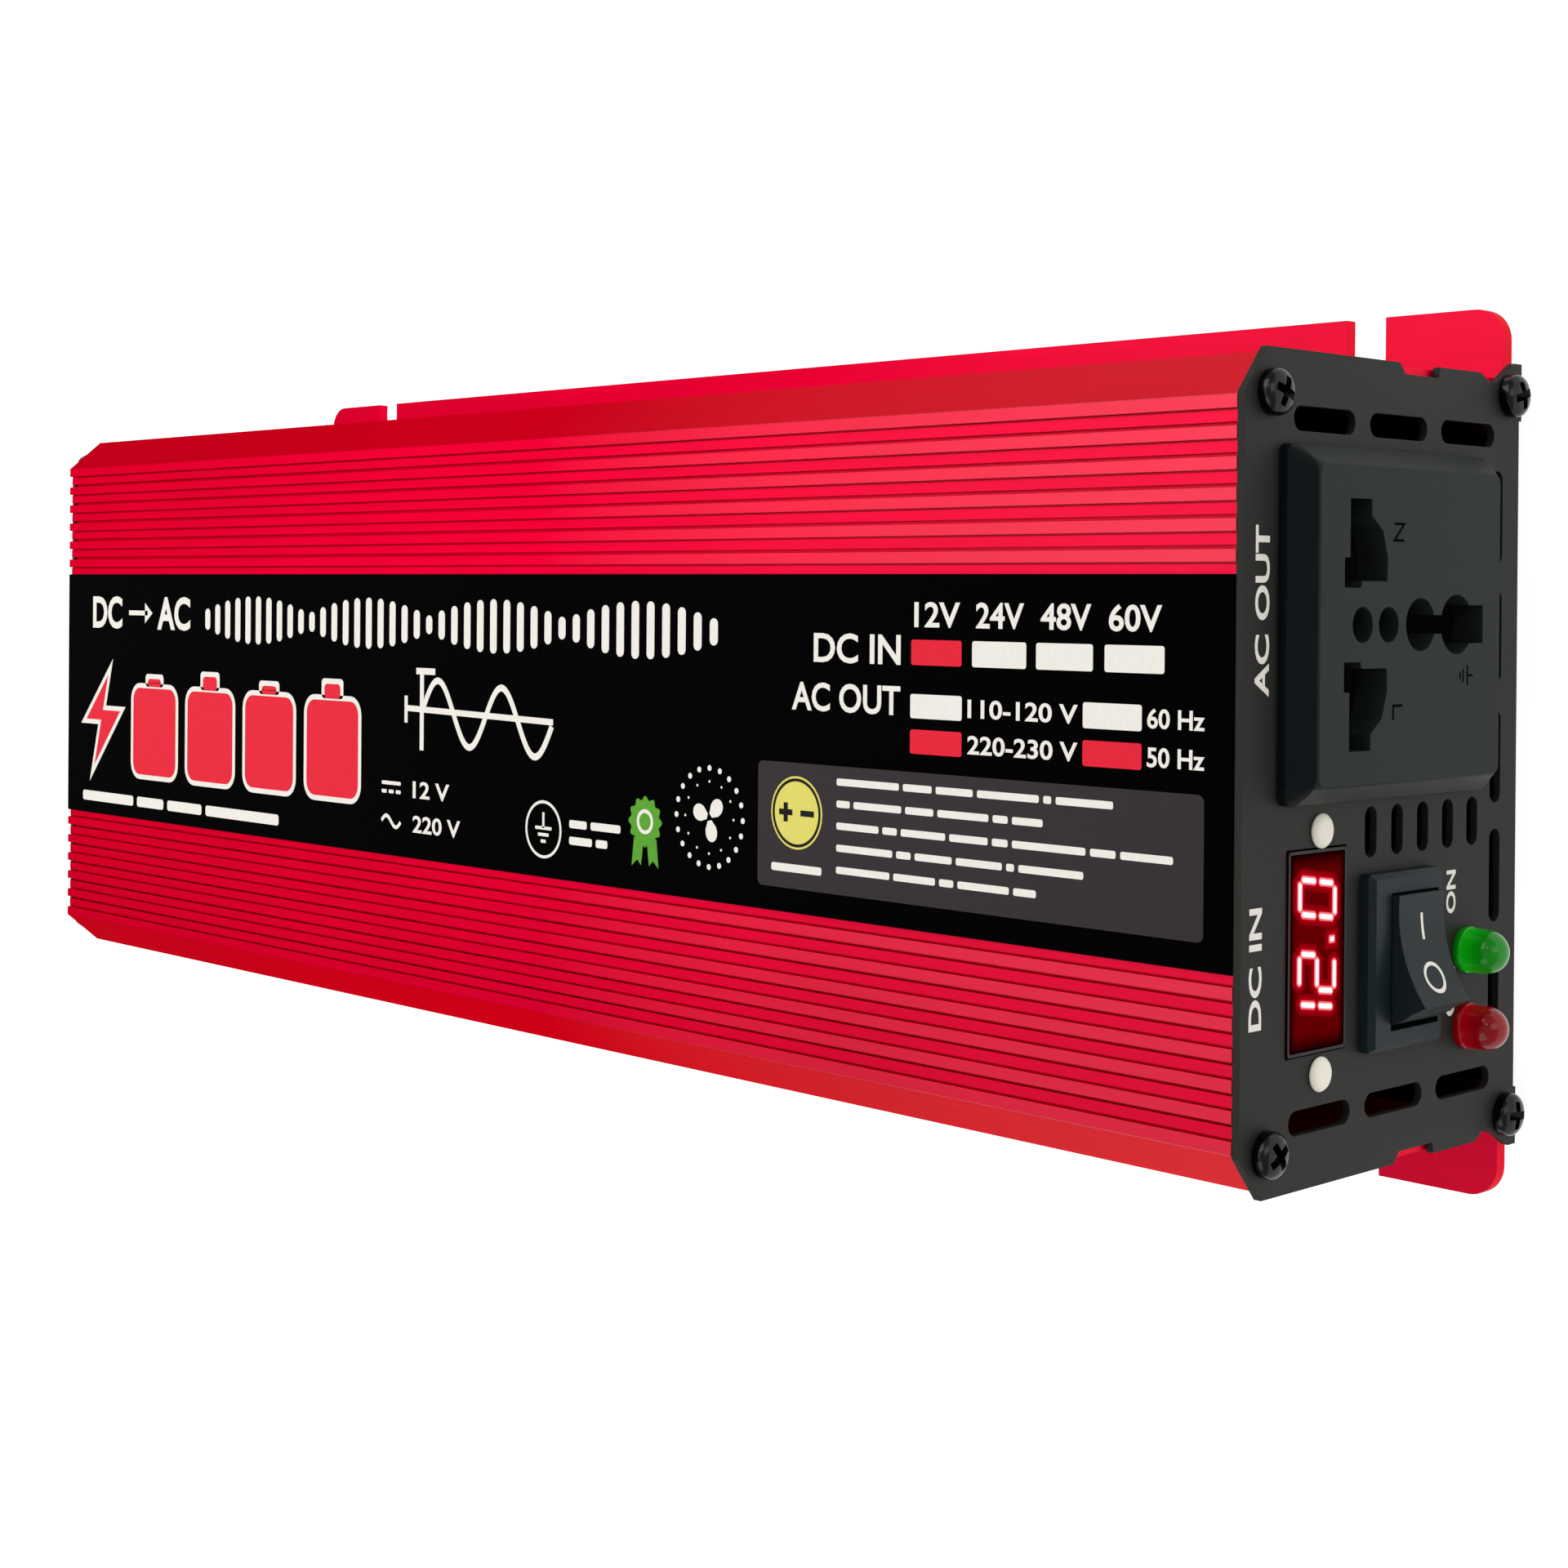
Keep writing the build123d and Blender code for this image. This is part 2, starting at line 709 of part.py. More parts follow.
def voltmeter_rivets():
    """Two nylon push rivets from the plate's face to the meter board."""
    back = face_x + lens_proud - lens_t - display_depth - board_t
    rivets = []
    for y in rivet_y:
        head = rod(face_x, face_x + rivet_head_h, y, rivet_z, rivet_head_r)
        head = fillet(head.edges().filter_by(GeomType.CIRCLE).sort_by(Axis.X)[-1], rivet_edge_r)
        shank = rod(back, face_x, y, rivet_z, rivet_r) + rod(back - barb_t, back, y, rivet_z, barb_r)
        rivets.append(head + shank)
    return Compound(children=rivets)


def lamp(y):
    """Round-topped lamp with its rim in the plate and two leads behind."""
    tip = end_x + lamp_len
    body = rod(end_x, tip - lamp_r, y, lamp_z, lamp_r) + Pos(tip - lamp_r, y, lamp_z) * Sphere(lamp_r)
    body += rod(end_x, end_x + lamp_rim_t, y, lamp_z, lamp_rim_r)
    half = lead_w / 2
    for lead in (y - lead_pitch / 2, y + lead_pitch / 2):
        body += box((end_x - lead_len, end_x), (lead - half, lead + half), (lamp_z - half, lamp_z + half))
    return body


def indicator_board():
    """Board that the two lamps' leads stand on."""
    x1 = end_x - lead_len
    middle = (lamp_y[0] + lamp_y[1]) / 2
    y = (middle - indicator_half_w, middle + indicator_half_w)
    return box((x1 - pcb_t, x1), y, (lamp_z + indicator_z[0], lamp_z + indicator_z[1]))


def fan_screw_points():
    """Centres (y, z) of the fan's four screws."""
    half = fan_hole_pitch / 2
    return [(a * half, fan_z + b * half) for a in (1, -1) for b in (1, -1)]


def fan_frame():
    """Square fan housing with its motor boss on three struts."""
    x0, x1 = -end_x, -end_x + fan_depth
    flange = Pos(0, fan_z) * RectangleRounded(fan_size, fan_size, fan_corner_r)
    bore = Pos(0, fan_z) * Circle(fan_bore_r)
    barrel = Pos(0, fan_z) * Circle(fan_size / 2 - barrel_gap)
    frame = slab(flange - bore, x0, x0 + fan_flange_t) + slab(flange - bore, x1 - fan_flange_t, x1)
    frame += slab(barrel - bore, x0, x1)
    for y, z in fan_screw_points():
        frame -= rod(x0 - 1, x1 + 1, y, z, fan_hole_r)
    for k in range(3):
        reach = fan_bore_r + strut_bite
        strut = Pos(reach / 2, 0) * Rectangle(reach, strut_w)
        frame += slab(Pos(0, fan_z) * Rot(0, 0, 90 + 120 * k) * strut, x1 - strut_t, x1)
    frame += rod(x1 - strut_t, x1, 0, fan_z, hub_r - motor_rim)
    frame += rod(x1 - motor_len, x1, 0, fan_z, stator_r)
    return frame - rod(x1 - motor_len - 1, x1 - shaft_cap_t, 0, fan_z, fan_shaft_r + fan_shaft_fit)


def fan_rotor():
    """Hub cup, shaft and pitched blades."""
    front = -end_x + rotor_front_gap
    back = -end_x + fan_depth - rotor_back_gap
    shaft = rod(front + shaft_start, back - shaft_end_gap, 0, fan_z, fan_shaft_r)
    hollow = rod(front + hub_face_t, back + 1, 0, fan_z, hub_r - hub_wall)
    hub = rod(front, back, 0, fan_z, hub_r)
    rotor = fillet(hub.edges().filter_by(GeomType.CIRCLE).sort_by(Axis.X)[0], hub_edge_r) - hollow
    tip_r = fan_bore_r - blade_tip_gap
    for k in range(fan_blades):
        vane = Rot(0, 0, vane_angle) * Box(vane_chord, vane_t, tip_r - hub_r + 2)
        turned = Rot(360 / fan_blades * k, 0, 0) * Pos(0, 0, (hub_r + tip_r) / 2) * vane
        rotor += Pos((front + back) / 2, 0, fan_z) * turned
    swept = rod(front, back, 0, fan_z, tip_r) - hollow
    return (rotor & swept) + shaft


def fan_guard():
    """Wire guard: rings on two crossed wires that end in loops round the screws."""
    wire_x = -face_x - guard_wire_r
    reach = fan_hole_pitch / math.sqrt(2)
    guard = None
    for turn in (45, -45):
        wire = Cylinder(guard_wire_r, 2 * (reach - guard_loop_r))
        wire = Pos(wire_x, 0, fan_z) * Rot(turn, 0, 0) * wire
        guard = wire if guard is None else guard + wire
    for y, z in fan_screw_points():
        guard += Pos(wire_x, y, z) * Rot(0, 90, 0) * Torus(guard_loop_r, guard_wire_r)
    for k in range(guard_ring_count):
        r = fan_bore_r - guard_ring_inset - k * guard_ring_step
        guard += Pos(wire_x - guard_ring_lift, 0, fan_z) * Rot(0, 90, 0) * Torus(r, guard_wire_r)
    return guard


def fan_screws():
    """Four screws through guard, plate and fan."""
    seat = -face_x - 2 * guard_wire_r
    length = fan_depth + plate_t + 2 * guard_wire_r + fan_screw_spare
    screws = []
    for y, z in fan_screw_points():
        screws.append(pan_screw(seat, y, z, -1, length, fan_screw_r, fan_head_r, fan_head_h))
    return Compound(children=screws)


def fan_nuts():
    """Four hexagon nuts behind the fan."""
    x = -end_x + fan_depth
    nuts = []
    for y, z in fan_screw_points():
        hexagon = RegularPolygon(fan_nut_half, 6, major_radius=False) - Circle(fan_screw_r + thread_fit)
        nuts.append(slab(Pos(y, z) * hexagon, x, x + fan_nut_t))
    return Compound(children=nuts)


def bushing(side):
    """Insulating bushing in two halves, outside and inside the rear plate."""
    y = side * stud_y
    bore = stud_r + loose_fit
    outer = rod(stud_seat_x, -face_x, y, stud_z, bushing_r)
    outer = fillet(outer.edges().filter_by(GeomType.CIRCLE).sort_by(Axis.X)[0], bushing_edge_r)
    outer += rod(-face_x, -end_x, y, stud_z, bushing_sleeve_r)
    outer -= rod(stud_seat_x - 1, -end_x + 1, y, stud_z, bore)
    inner = rod(-end_x, -end_x + bushing_inner_t, y, stud_z, bushing_r)
    inner -= rod(-end_x - 1, -end_x + bushing_inner_t + 1, y, stud_z, bore)
    return Compound(children=[outer, inner])


def stud(side):
    """Brass terminal stud with a hexagon collar that a cable lug seats on."""
    y = side * stud_y
    shaft = rod(knob_x + knob_cap_t + stud_tip_gap, -face_x + stud_in, y, stud_z, stud_r)
    shaft = chamfer(shaft.edges().filter_by(GeomType.CIRCLE), stud_edge)
    collar = Pos(y, stud_z) * RegularPolygon(collar_flat / 2, 6, major_radius=False)
    return shaft + slab(collar, collar_x, stud_seat_x)


def stud_nuts():
    """Hexagon nuts that pull the studs and straps against the plate."""
    x = -end_x + bushing_inner_t + strap_t
    nuts = []
    for side in (1, -1):
        hexagon = RegularPolygon(stud_nut_half, 6, major_radius=False) - Circle(stud_r + thread_fit)
        nuts.append(slab(Pos(side * stud_y, stud_z) * hexagon, x, x + stud_nut_t))
    return Compound(children=nuts)


def washer(side):
    """Brass washer between the knob and the cable lug."""
    outline = Circle(washer_r) - Circle(stud_r + loose_fit)
    return slab(Pos(side * stud_y, stud_z) * outline, washer_x, washer_x + washer_t)


def knob(side):
    """Fluted insulating knob round its threaded insert."""
    y = side * stud_y
    body = rod(knob_x, knob_x + knob_len, y, stud_z, knob_r)
    rim = body.edges().filter_by(GeomType.CIRCLE).sort_by(Axis.X)
    body = fillet(rim[0], knob_edge_r)
    for k in range(knob_flutes):
        angle = 2 * math.pi * k / knob_flutes
        flute_y = y + (knob_r + flute_offset) * math.cos(angle)
        flute_z = stud_z + (knob_r + flute_offset) * math.sin(angle)
        body -= rod(knob_x - 1, knob_x + knob_len - flute_stop, flute_y, flute_z, flute_r)
    return body - rod(knob_x + knob_cap_t, knob_x + knob_len + 1, y, stud_z, insert_r)


def knob_insert(side):
    """Brass threaded insert moulded into the knob."""
    outline = Circle(insert_r) - Circle(stud_r + thread_fit)
    return slab(Pos(side * stud_y, stud_z) * outline, knob_x + knob_cap_t, knob_x + knob_len)


def strap(side):
    """Copper strap from the stud down to the circuit board."""
    y = side * stud_y
    x0 = -end_x + bushing_inner_t
    limits = (y - strap_w / 2, y + strap_w / 2)
    upright = box((x0, x0 + strap_t), limits, (pcb_top, stud_z + strap_above))
    foot = box((x0, pcb_x[0] + strap_foot), limits, (pcb_top, pcb_top + strap_t))
    return upright + foot - rod(x0 - 1, x0 + strap_t + 1, y, stud_z, stud_r + loose_fit)


def board_screw_points():
    """Centres (x, y) of the board's screws."""
    return [(x, s * board_screw_y) for x in board_screw_x for s in (1, -1)]


def main_board():
    """Power board."""
    board = box(pcb_x, (-pcb_half_w, pcb_half_w), (pcb_bottom, pcb_top))
    for x, y in board_screw_points():
        board -= post(x, y, pcb_bottom - 1, pcb_top + 1, board_hole_r)
    return board


def board_standoffs():
    """Six pillars between the base and the board."""
    pillars = []
    for x, y in board_screw_points():
        pillar = post(x, y, flange_t, pcb_bottom, standoff_r)
        pillars.append(pillar - post(x, y, flange_t + 1, pcb_bottom + 1, channel_r))
    return Compound(children=pillars)


def board_screws():
    """Six screws that hold the board on its pillars."""
    screws = []
    for x, y in board_screw_points():
        screw = pan_screw(0, 0, 0, 1, pcb_t + standoff_h - 2, screw_shank_r, screw_head_r, screw_head_h)
        screws.append(Pos(x, y, pcb_top) * Rot(0, -90, 0) * screw)
    return Compound(children=screws)


def driver_board():
    """Upright control board with its chips."""
    x = transformer_x[1] + driver_gap_x
    front = x + pcb_t / 2
    board = box((x - pcb_t / 2, front), (-driver_half_w, driver_half_w), (pcb_top, pcb_top + driver_h))
    z = (pcb_top + chip_z[0], pcb_top + chip_z[1])
    for y in chip_y:
        board += box((front, front + chip_t), (y - chip_half, y + chip_half), z)
    return board


def transformer_cores():
    """Two ferrite cores with a window each side of the middle leg."""
    cores = []
    z0 = pcb_top + bobbin_t
    window_w = winding_t + winding_gap
    for x in transformer_x:
        core = box((x - core_depth / 2, x + core_depth / 2), (-core_w / 2, core_w / 2), (z0, z0 + core_h))
        for side in (1, -1):
            y = sorted((side * core_leg / 2, side * (core_leg / 2 + window_w)))
            core -= box((x - core_depth, x + core_depth), y, (z0 + core_yoke, z0 + core_h - core_yoke))
        cores.append(core)
    return Compound(children=cores)


def transformer_windings():
    """Taped winding round each core's middle leg."""
    z0 = pcb_top + bobbin_t + core_yoke + winding_gap
    z1 = pcb_top + bobbin_t + core_h - core_yoke - winding_gap
    windings = []
    for x in transformer_x:
        outside = Rectangle(core_depth + 2 * winding_t, core_leg + 2 * winding_t)
        outside = fillet(outside.vertices(), winding_corner_r)
        hole = Rectangle(core_depth + 2 * winding_gap, core_leg + 2 * winding_gap)
        windings.append(Pos(x, 0, z0) * extrude(outside - hole, amount=z1 - z0))
    return Compound(children=windings)


def transformer_bobbins():
    """Moulded feet that the cores stand on."""
    a, b = bobbin_half
    feet = [box((x - a, x + a), (-b, b), (pcb_top, pcb_top + bobbin_t)) for x in transformer_x]
    return Compound(children=feet)


def can(x, y, r, height):
    """Electrolytic capacitor can with a crimped foot."""
    body = post(x, y, pcb_top, pcb_top + height, r)
    body = fillet(body.edges().filter_by(GeomType.CIRCLE).sort_by(Axis.Z)[-1], can_edge_r)
    low, high = pcb_top + crimp_z[0], pcb_top + crimp_z[1]
    crimp = post(x, y, low, high, r + 1) - post(x, y, low - 1, high + 1, r - crimp_depth)
    return body - crimp


def input_capacitors():
    """Four low-voltage capacitors by the DC input."""
    x = input_fet_x[0] + can_shift_x
    return Compound(children=[can(x, y, *input_can) for y in input_can_y])


def bulk_capacitors():
    """Two high-voltage capacitors."""
    x = output_fet_x[0] + can_shift_x
    return Compound(children=[can(x, y, *bulk_can) for y in bulk_can_y])


def clamp_z():
    """Height of the clamp bars' middle line."""
    return fet_z + fet_h * clamp_share


def clamp_screw_x():
    """Places of the clamp screws, midway between transistors."""
    rows = (input_fet_x, output_fet_x)
    return [(row[k] + row[k + 1]) / 2 for row in rows for k in (0, len(row) - 2)]


def fets(places):
    """Power transistors on both side walls, with legs bent in to the board."""
    parts = []
    for x in places:
        for side in (1, -1):
            y = sorted((side * fet_y, side * (fet_y + fet_t)))
            parts.append(box((x - fet_w / 2, x + fet_w / 2), y, (fet_z, fet_z + fet_h)))
            far, near = pcb_half_w - leg_edge_gap, pcb_half_w - leg_edge_gap - leg_t
            out = fet_y + leg_inset
            bend = [(out, fet_z), (out, leg_z), (far, leg_z), (far, pcb_top), (near, pcb_top)]
            bend += [(near, leg_z + leg_t), (out - leg_t, leg_z + leg_t), (out - leg_t, fet_z)]
            leg = Polygon(*[(side * a, b) for a, b in bend], align=None)
            for k in (-1, 0, 1):
                parts[-1] += extrude(Plane.YZ.offset(x + k * leg_pitch) * leg, amount=leg_w / 2, both=True)
    return Compound(children=parts)


def pads_and_bars(kind):
    """Insulator pads, clamp bars or clamp screws for every row of transistors."""
    parts = []
    for row in (input_fet_x, output_fet_x):
        x = (row[0] - clamp_end, row[-1] + clamp_end)
        for side in (1, -1):
            screws = [s for s in clamp_screw_x() if x[0] < s < x[1]]
            if kind == "pad":
                y = sorted((side * (wall_in - pad_t), side * wall_in))
                part = box(x, y, (fet_z - 1, fet_z + fet_h + 1))
            elif kind == "bar":
                y = sorted((side * (fet_y - clamp_t), side * fet_y))
                part = box(x, y, (clamp_z() - clamp_h / 2, clamp_z() + clamp_h / 2))
            else:
                parts += [clamp_screw(s, side) for s in sorted(set(screws))]
                continue
            for s in screws:
                part -= crossbar(s, y[0] - 1, y[1] + 1, clamp_z(), board_hole_r)
            parts.append(part)
    return Compound(children=parts)


def clamp_screw(x, side):
    """Screw through a clamp bar into the case wall."""
    head_y = fet_y - clamp_t
    length = wall_in + case_wall - clamp_skin - clamp_tip_gap - head_y
    screw = pan_screw(0, 0, 0, 1, length, screw_shank_r, screw_head_r, screw_head_h)
    return Pos(x, side * head_y, clamp_z()) * Rot(0, 0, -90 * side) * screw


def choke_core():
    """Ring core of the output choke."""
    return choke_place() * Torus(choke_r, choke_core_r)


def choke_place():
    """Where the choke lies on the board."""
    return Pos(output_fet_x[-1] + choke_shift_x, choke_y, pcb_top + choke_wire[1])


def choke_winding():
    """Copper winding round most of the ring."""
    ring = Torus(choke_r, choke_wire[1]) - Torus(choke_r, choke_wire[0])
    reach = (choke_r - choke_wire[1], choke_r + choke_wire[1] + 1)
    gap = box(reach, (-choke_open_w / 2, choke_open_w / 2), (-10, 10))
    return choke_place() * (ring - gap)


def blade_fuses():
    """Three plug-in blade fuses in line."""
    fuses = []
    z = (pcb_top, pcb_top + fuse_body_z[0] + 1)
    body_z = (pcb_top + fuse_body_z[0], pcb_top + fuse_body_z[1])
    for k in range(fuse_count):
        x = pcb_x[0] + fuse_start + fuse_pitch * k
        thick = (x - fuse_tab_t / 2, x + fuse_tab_t / 2)
        a, b = fuse_body_half
        fuse = box((x - a, x + a), (-b, b), body_z)
        fuse += box(thick, (-fuse_tab_y[1], -fuse_tab_y[0]), z) + box(thick, fuse_tab_y, z)
        fuses.append(fuse)
    return Compound(children=fuses)


def buzzer():
    """Round alarm buzzer."""
    x, y = output_fet_x[-1] + buzzer_shift_x, buzzer_y
    top = pcb_top + buzzer_h
    return post(x, y, pcb_top, top, buzzer_r) - post(x, y, top - 1.5, top + 1, 1)


def ac_leads():
    """Insulated leads from the socket's contact tails to the board."""
    tail_x = face_x - socket_body_depth - tail_len
    leads = []
    for y, z in (pocket(1), pocket(-1), earth_pocket()):
        middle = ((y[0] + y[1]) / 2, (z[0] + z[1]) / 2)
        start = (tail_x, middle[0], middle[1])
        corner = (tail_x - lead_reach, middle[0], middle[1])
        foot = (corner[0], middle[0], pcb_top)
        route = FilletPolyline(start, corner, foot, radius=lead_bend_r)
        end = Plane(origin=start, z_dir=(-1, 0, 0))
        leads.append(sweep(end * Circle(lead_r), path=route))
    return Compound(children=leads)


SIDES = {"positive": 1, "negative": -1}
nodes = {
    "case_shell": case_shell(),
    "label_sheet": label_sheet(),
    "base_plate": base_plate(),
    "front_end_plate": front_end_plate(),
    "rear_end_plate": rear_end_plate(),
    "end_plate_screws": end_plate_screws(),
    "socket_cover": socket_cover(),
    "socket_body": socket_body(),
    "socket_neutral_contact": socket_contact(pocket(1)),
    "socket_line_contact": socket_contact(pocket(-1)),
    "socket_earth_contact": socket_contact(earth_pocket()),
    "rocker_frame": rocker_frame(),
    "rocker_button": rocker_button(),
    "rocker_terminals": rocker_terminals(),
    "voltmeter_lens": voltmeter_lens(),
    "voltmeter_display": voltmeter_display(),
    "voltmeter_board": voltmeter_board(),
    "voltmeter_rivets": voltmeter_rivets(),
    "lamp_green": lamp(lamp_y[0]),
    "lamp_red": lamp(lamp_y[1]),
    "indicator_board": indicator_board(),
    "fan_frame": fan_frame(),
    "fan_rotor": fan_rotor(),
    "fan_guard": fan_guard(),
    "fan_screws": fan_screws(),
    "fan_nuts": fan_nuts(),
    "stud_nuts": stud_nuts(),
    "main_board": main_board(),
    "board_standoffs": board_standoffs(),
    "board_screws": board_screws(),
    "driver_board": driver_board(),
    "transformer_cores": transformer_cores(),
    "transformer_windings": transformer_windings(),
    "transformer_bobbins": transformer_bobbins(),
    "input_capacitors": input_capacitors(),
    "bulk_capacitors": bulk_capacitors(),
    "input_mosfets": fets(input_fet_x),
    "output_mosfets": fets(output_fet_x),
    "insulator_pads": pads_and_bars("pad"),
    "clamp_bars": pads_and_bars("bar"),
    "clamp_screws": pads_and_bars("screw"),
    "choke_core": choke_core(),
    "choke_winding": choke_winding(),
    "blade_fuses": blade_fuses(),
    "buzzer": buzzer(),
    "ac_leads": ac_leads(),
}
for name, side in SIDES.items():
    nodes["stud_" + name] = stud(side)
    nodes["bushing_" + name] = bushing(side)
    nodes["washer_" + name] = washer(side)
    nodes["knob_" + name] = knob(side)
    nodes["knob_insert_" + name] = knob_insert(side)
    nodes["strap_" + name] = strap(side)

os.makedirs("parts", exist_ok=True)
for name, shape in nodes.items():
    export_step(shape, "parts/" + name + ".step")
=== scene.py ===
import math

import bmesh
import bpy
from bpy.props import FloatProperty, FloatVectorProperty, IntProperty, PointerProperty
from mathutils import Matrix, Vector
from mathutils.bvhtree import BVHTree


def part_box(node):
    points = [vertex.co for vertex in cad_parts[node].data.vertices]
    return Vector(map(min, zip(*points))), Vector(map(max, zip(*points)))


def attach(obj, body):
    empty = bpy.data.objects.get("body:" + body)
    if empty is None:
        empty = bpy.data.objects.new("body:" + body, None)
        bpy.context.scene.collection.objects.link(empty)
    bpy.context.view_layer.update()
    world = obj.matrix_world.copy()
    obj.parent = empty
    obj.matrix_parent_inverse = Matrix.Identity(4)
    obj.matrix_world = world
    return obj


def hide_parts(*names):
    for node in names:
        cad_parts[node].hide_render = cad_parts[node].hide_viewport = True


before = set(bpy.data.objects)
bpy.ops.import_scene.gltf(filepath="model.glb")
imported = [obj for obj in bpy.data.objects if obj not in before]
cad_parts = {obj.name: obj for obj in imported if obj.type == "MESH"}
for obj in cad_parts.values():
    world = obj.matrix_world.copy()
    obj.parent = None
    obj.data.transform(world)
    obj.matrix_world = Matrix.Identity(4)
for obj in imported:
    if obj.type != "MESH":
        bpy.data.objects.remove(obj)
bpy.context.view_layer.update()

bl_info = {
    "name": "Power inverter",
    "version": (1, 0, 0),
    "blender": (4, 5, 0),
    "location": "3D View > Sidebar > Inverter",
    "description": "Finishes, print and fine detail for a ribbed power inverter",
    "category": "Object",
}

MM = 0.001
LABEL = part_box("label_sheet")
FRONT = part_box("front_end_plate")
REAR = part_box("rear_end_plate")
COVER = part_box("socket_cover")
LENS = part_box("voltmeter_lens")


# ---------------------------------------------------------------- settings


def colour(name, description, default):
    """A colour property."""
    return FloatVectorProperty(
        name=name, description=description, default=default, subtype="COLOR", size=3, min=0, max=1
    )


def length(name, description, default):
    """A length property, whose default is in metres."""
    return FloatProperty(name=name, description=description, default=default, unit="LENGTH", precision=5)


def power(name, lamp, default):
    """A lamp's power property, in watts."""
    return FloatProperty(name=name, description=f"Power of {lamp} in watts", default=default)


class InverterColours(bpy.types.PropertyGroup):
    """Colours of the finishes."""

    red: colour("Anodised red", "Dye of the ribbed case", (0.76, 0.0015, 0.042))
    red_deep: colour("Deep red", "The dye where it lies thicker", (0.55, 0.001, 0.028))
    steel: colour("Black steel", "Powder coat of the end plates", (0.0142, 0.0142, 0.012))
    moulding: colour("Black moulding", "Socket cover and body", (0.0135, 0.0185, 0.0145))
    switch: colour("Switch black", "Rocker switch", (0.0072, 0.0135, 0.0155))
    label_black: colour("Label black", "Ground of the label", (0.0006, 0.0006, 0.0006))
    print_white: colour("Print white", "White print", (0.8, 0.765, 0.7))
    print_red: colour("Print red", "Red print", (0.74, 0.008, 0.03))
    print_grey: colour("Print grey", "Grey panel of the label", (0.026, 0.019, 0.022))
    print_yellow: colour("Print yellow", "Yellow print", (0.7, 0.63, 0.13))
    print_green: colour("Print green", "Green print", (0.09, 0.33, 0.02))
    lamp_green: colour("Green lamp", "Lamp that shows power", (0.001, 0.17, 0.002))
    lamp_red: colour("Red lamp", "Lamp that shows a fault", (0.2, 0.0, 0.003))
    digit: colour("Digit", "Middle of a lit segment", (1.0, 0.78, 0.8))
    digit_edge: colour("Digit edge", "Edge of a lit segment", (1.0, 0.17, 0.2))
    digit_halo: colour("Digit halo", "Light spread about a lit segment", (0.42, 0.0, 0.006))
    window: colour("Window", "Middle of the voltmeter's window", (0.13, 0.0, 0.001))
    nylon: colour("Nylon", "Push rivets", (0.74, 0.7, 0.6))


class InverterDetails(bpy.types.PropertyGroup):
    """Sizes of the fine detail."""

    print_t: length("Print thickness", "How far one layer of ink stands on a face", 0.03 * MM)
    edge_r: length("Edge radius", "Softening of sharp edges in the finishes", 0.15 * MM)
    stroke: length("Segment width", "Width of a digit's segments", 1.05 * MM)
    digit_h: length("Digit height", "Height of the voltmeter's digits", 8.25 * MM)
    digit_w: length("Digit width", "Width of one digit", 5.15 * MM)
    lean: FloatProperty(
        name="Lean", description="Sideways lean of the digits for each unit of height", default=0.136
    )
    steps: IntProperty(name="Round steps", description="Sides of a round detail", default=48, min=12)


class InverterStage(bpy.types.PropertyGroup):
    """Camera, lights and floor."""

    camera_at: FloatVectorProperty(
        name="Camera", description="Where the camera stands", default=(0.30831, 0.02062, 0.29478),
        subtype="TRANSLATION",
    )
    camera_ahead: FloatVectorProperty(
        name="Ahead", description="Which way the camera looks", default=(-0.72374, -0.00492, -0.69005)
    )
    camera_up: FloatVectorProperty(
        name="Up", description="The camera's upward direction", default=(-0.00868, 0.99996, 0.00198)
    )
    lens: FloatProperty(name="Lens", description="Focal length in millimetres", default=56.519)
    shift_y: FloatProperty(name="Shift", description="Vertical lens shift", default=-0.1146)
    floor_colour: colour("Floor", "Pale floor", (0.42, 0.42, 0.42))
    floor_glow: FloatProperty(name="Floor glow", description="Light that the pale floor adds", default=0.88)
    world: FloatProperty(name="World", description="Strength of the surrounding light", default=0.42)
    key: power("Key light", "the main softbox", 7.0)
    fill: power("Fill light", "the fill softbox", 3.5)
    side: power("Side light", "the side softbox", 2.2)
    back: power("Back light", "the softbox behind the far end", 0.5)
    top: power("Top light", "the softbox above the near end", 0.8)
    glint: power("Glint", "the small light", 0.12)


def colours():
    return bpy.context.scene.inverter_colours


def details():
    return bpy.context.scene.inverter_details


# ---------------------------------------------------------------- shader expressions


class Wire:
    """A shader socket that arithmetic works on. Each operation adds a Math node."""

    def __init__(self, finish, socket):
        self.finish = finish
        self.socket = socket

    def math(self, operation, *values, clamp=False):
        sockets = dict(enumerate(values))
        return self.finish.node("ShaderNodeMath", {"operation": operation, "use_clamp": clamp}, sockets)

    def __add__(self, other):
        return self.math("ADD", self, other)

    def __sub__(self, other):
        return self.math("SUBTRACT", self, other)

    def __rsub__(self, other):
        return self.math("SUBTRACT", other, self)

    def __mul__(self, other):
        return self.math("MULTIPLY", self, other)

    def __truediv__(self, other):
        return self.math("DIVIDE", self, other)

    def __gt__(self, other):
        return self.math("GREATER_THAN", self, other)

    def __lt__(self, other):
        return self.math("LESS_THAN", self, other)

    __radd__ = __add__
    __rmul__ = __mul__

    def clamped(self):
        return self.math("ADD", self, 0.0, clamp=True)

    def absolute(self):
        return self.math("ABSOLUTE", self)

    def repeat(self, period):
        return self.math("MODULO", self + 1000 * period, period)


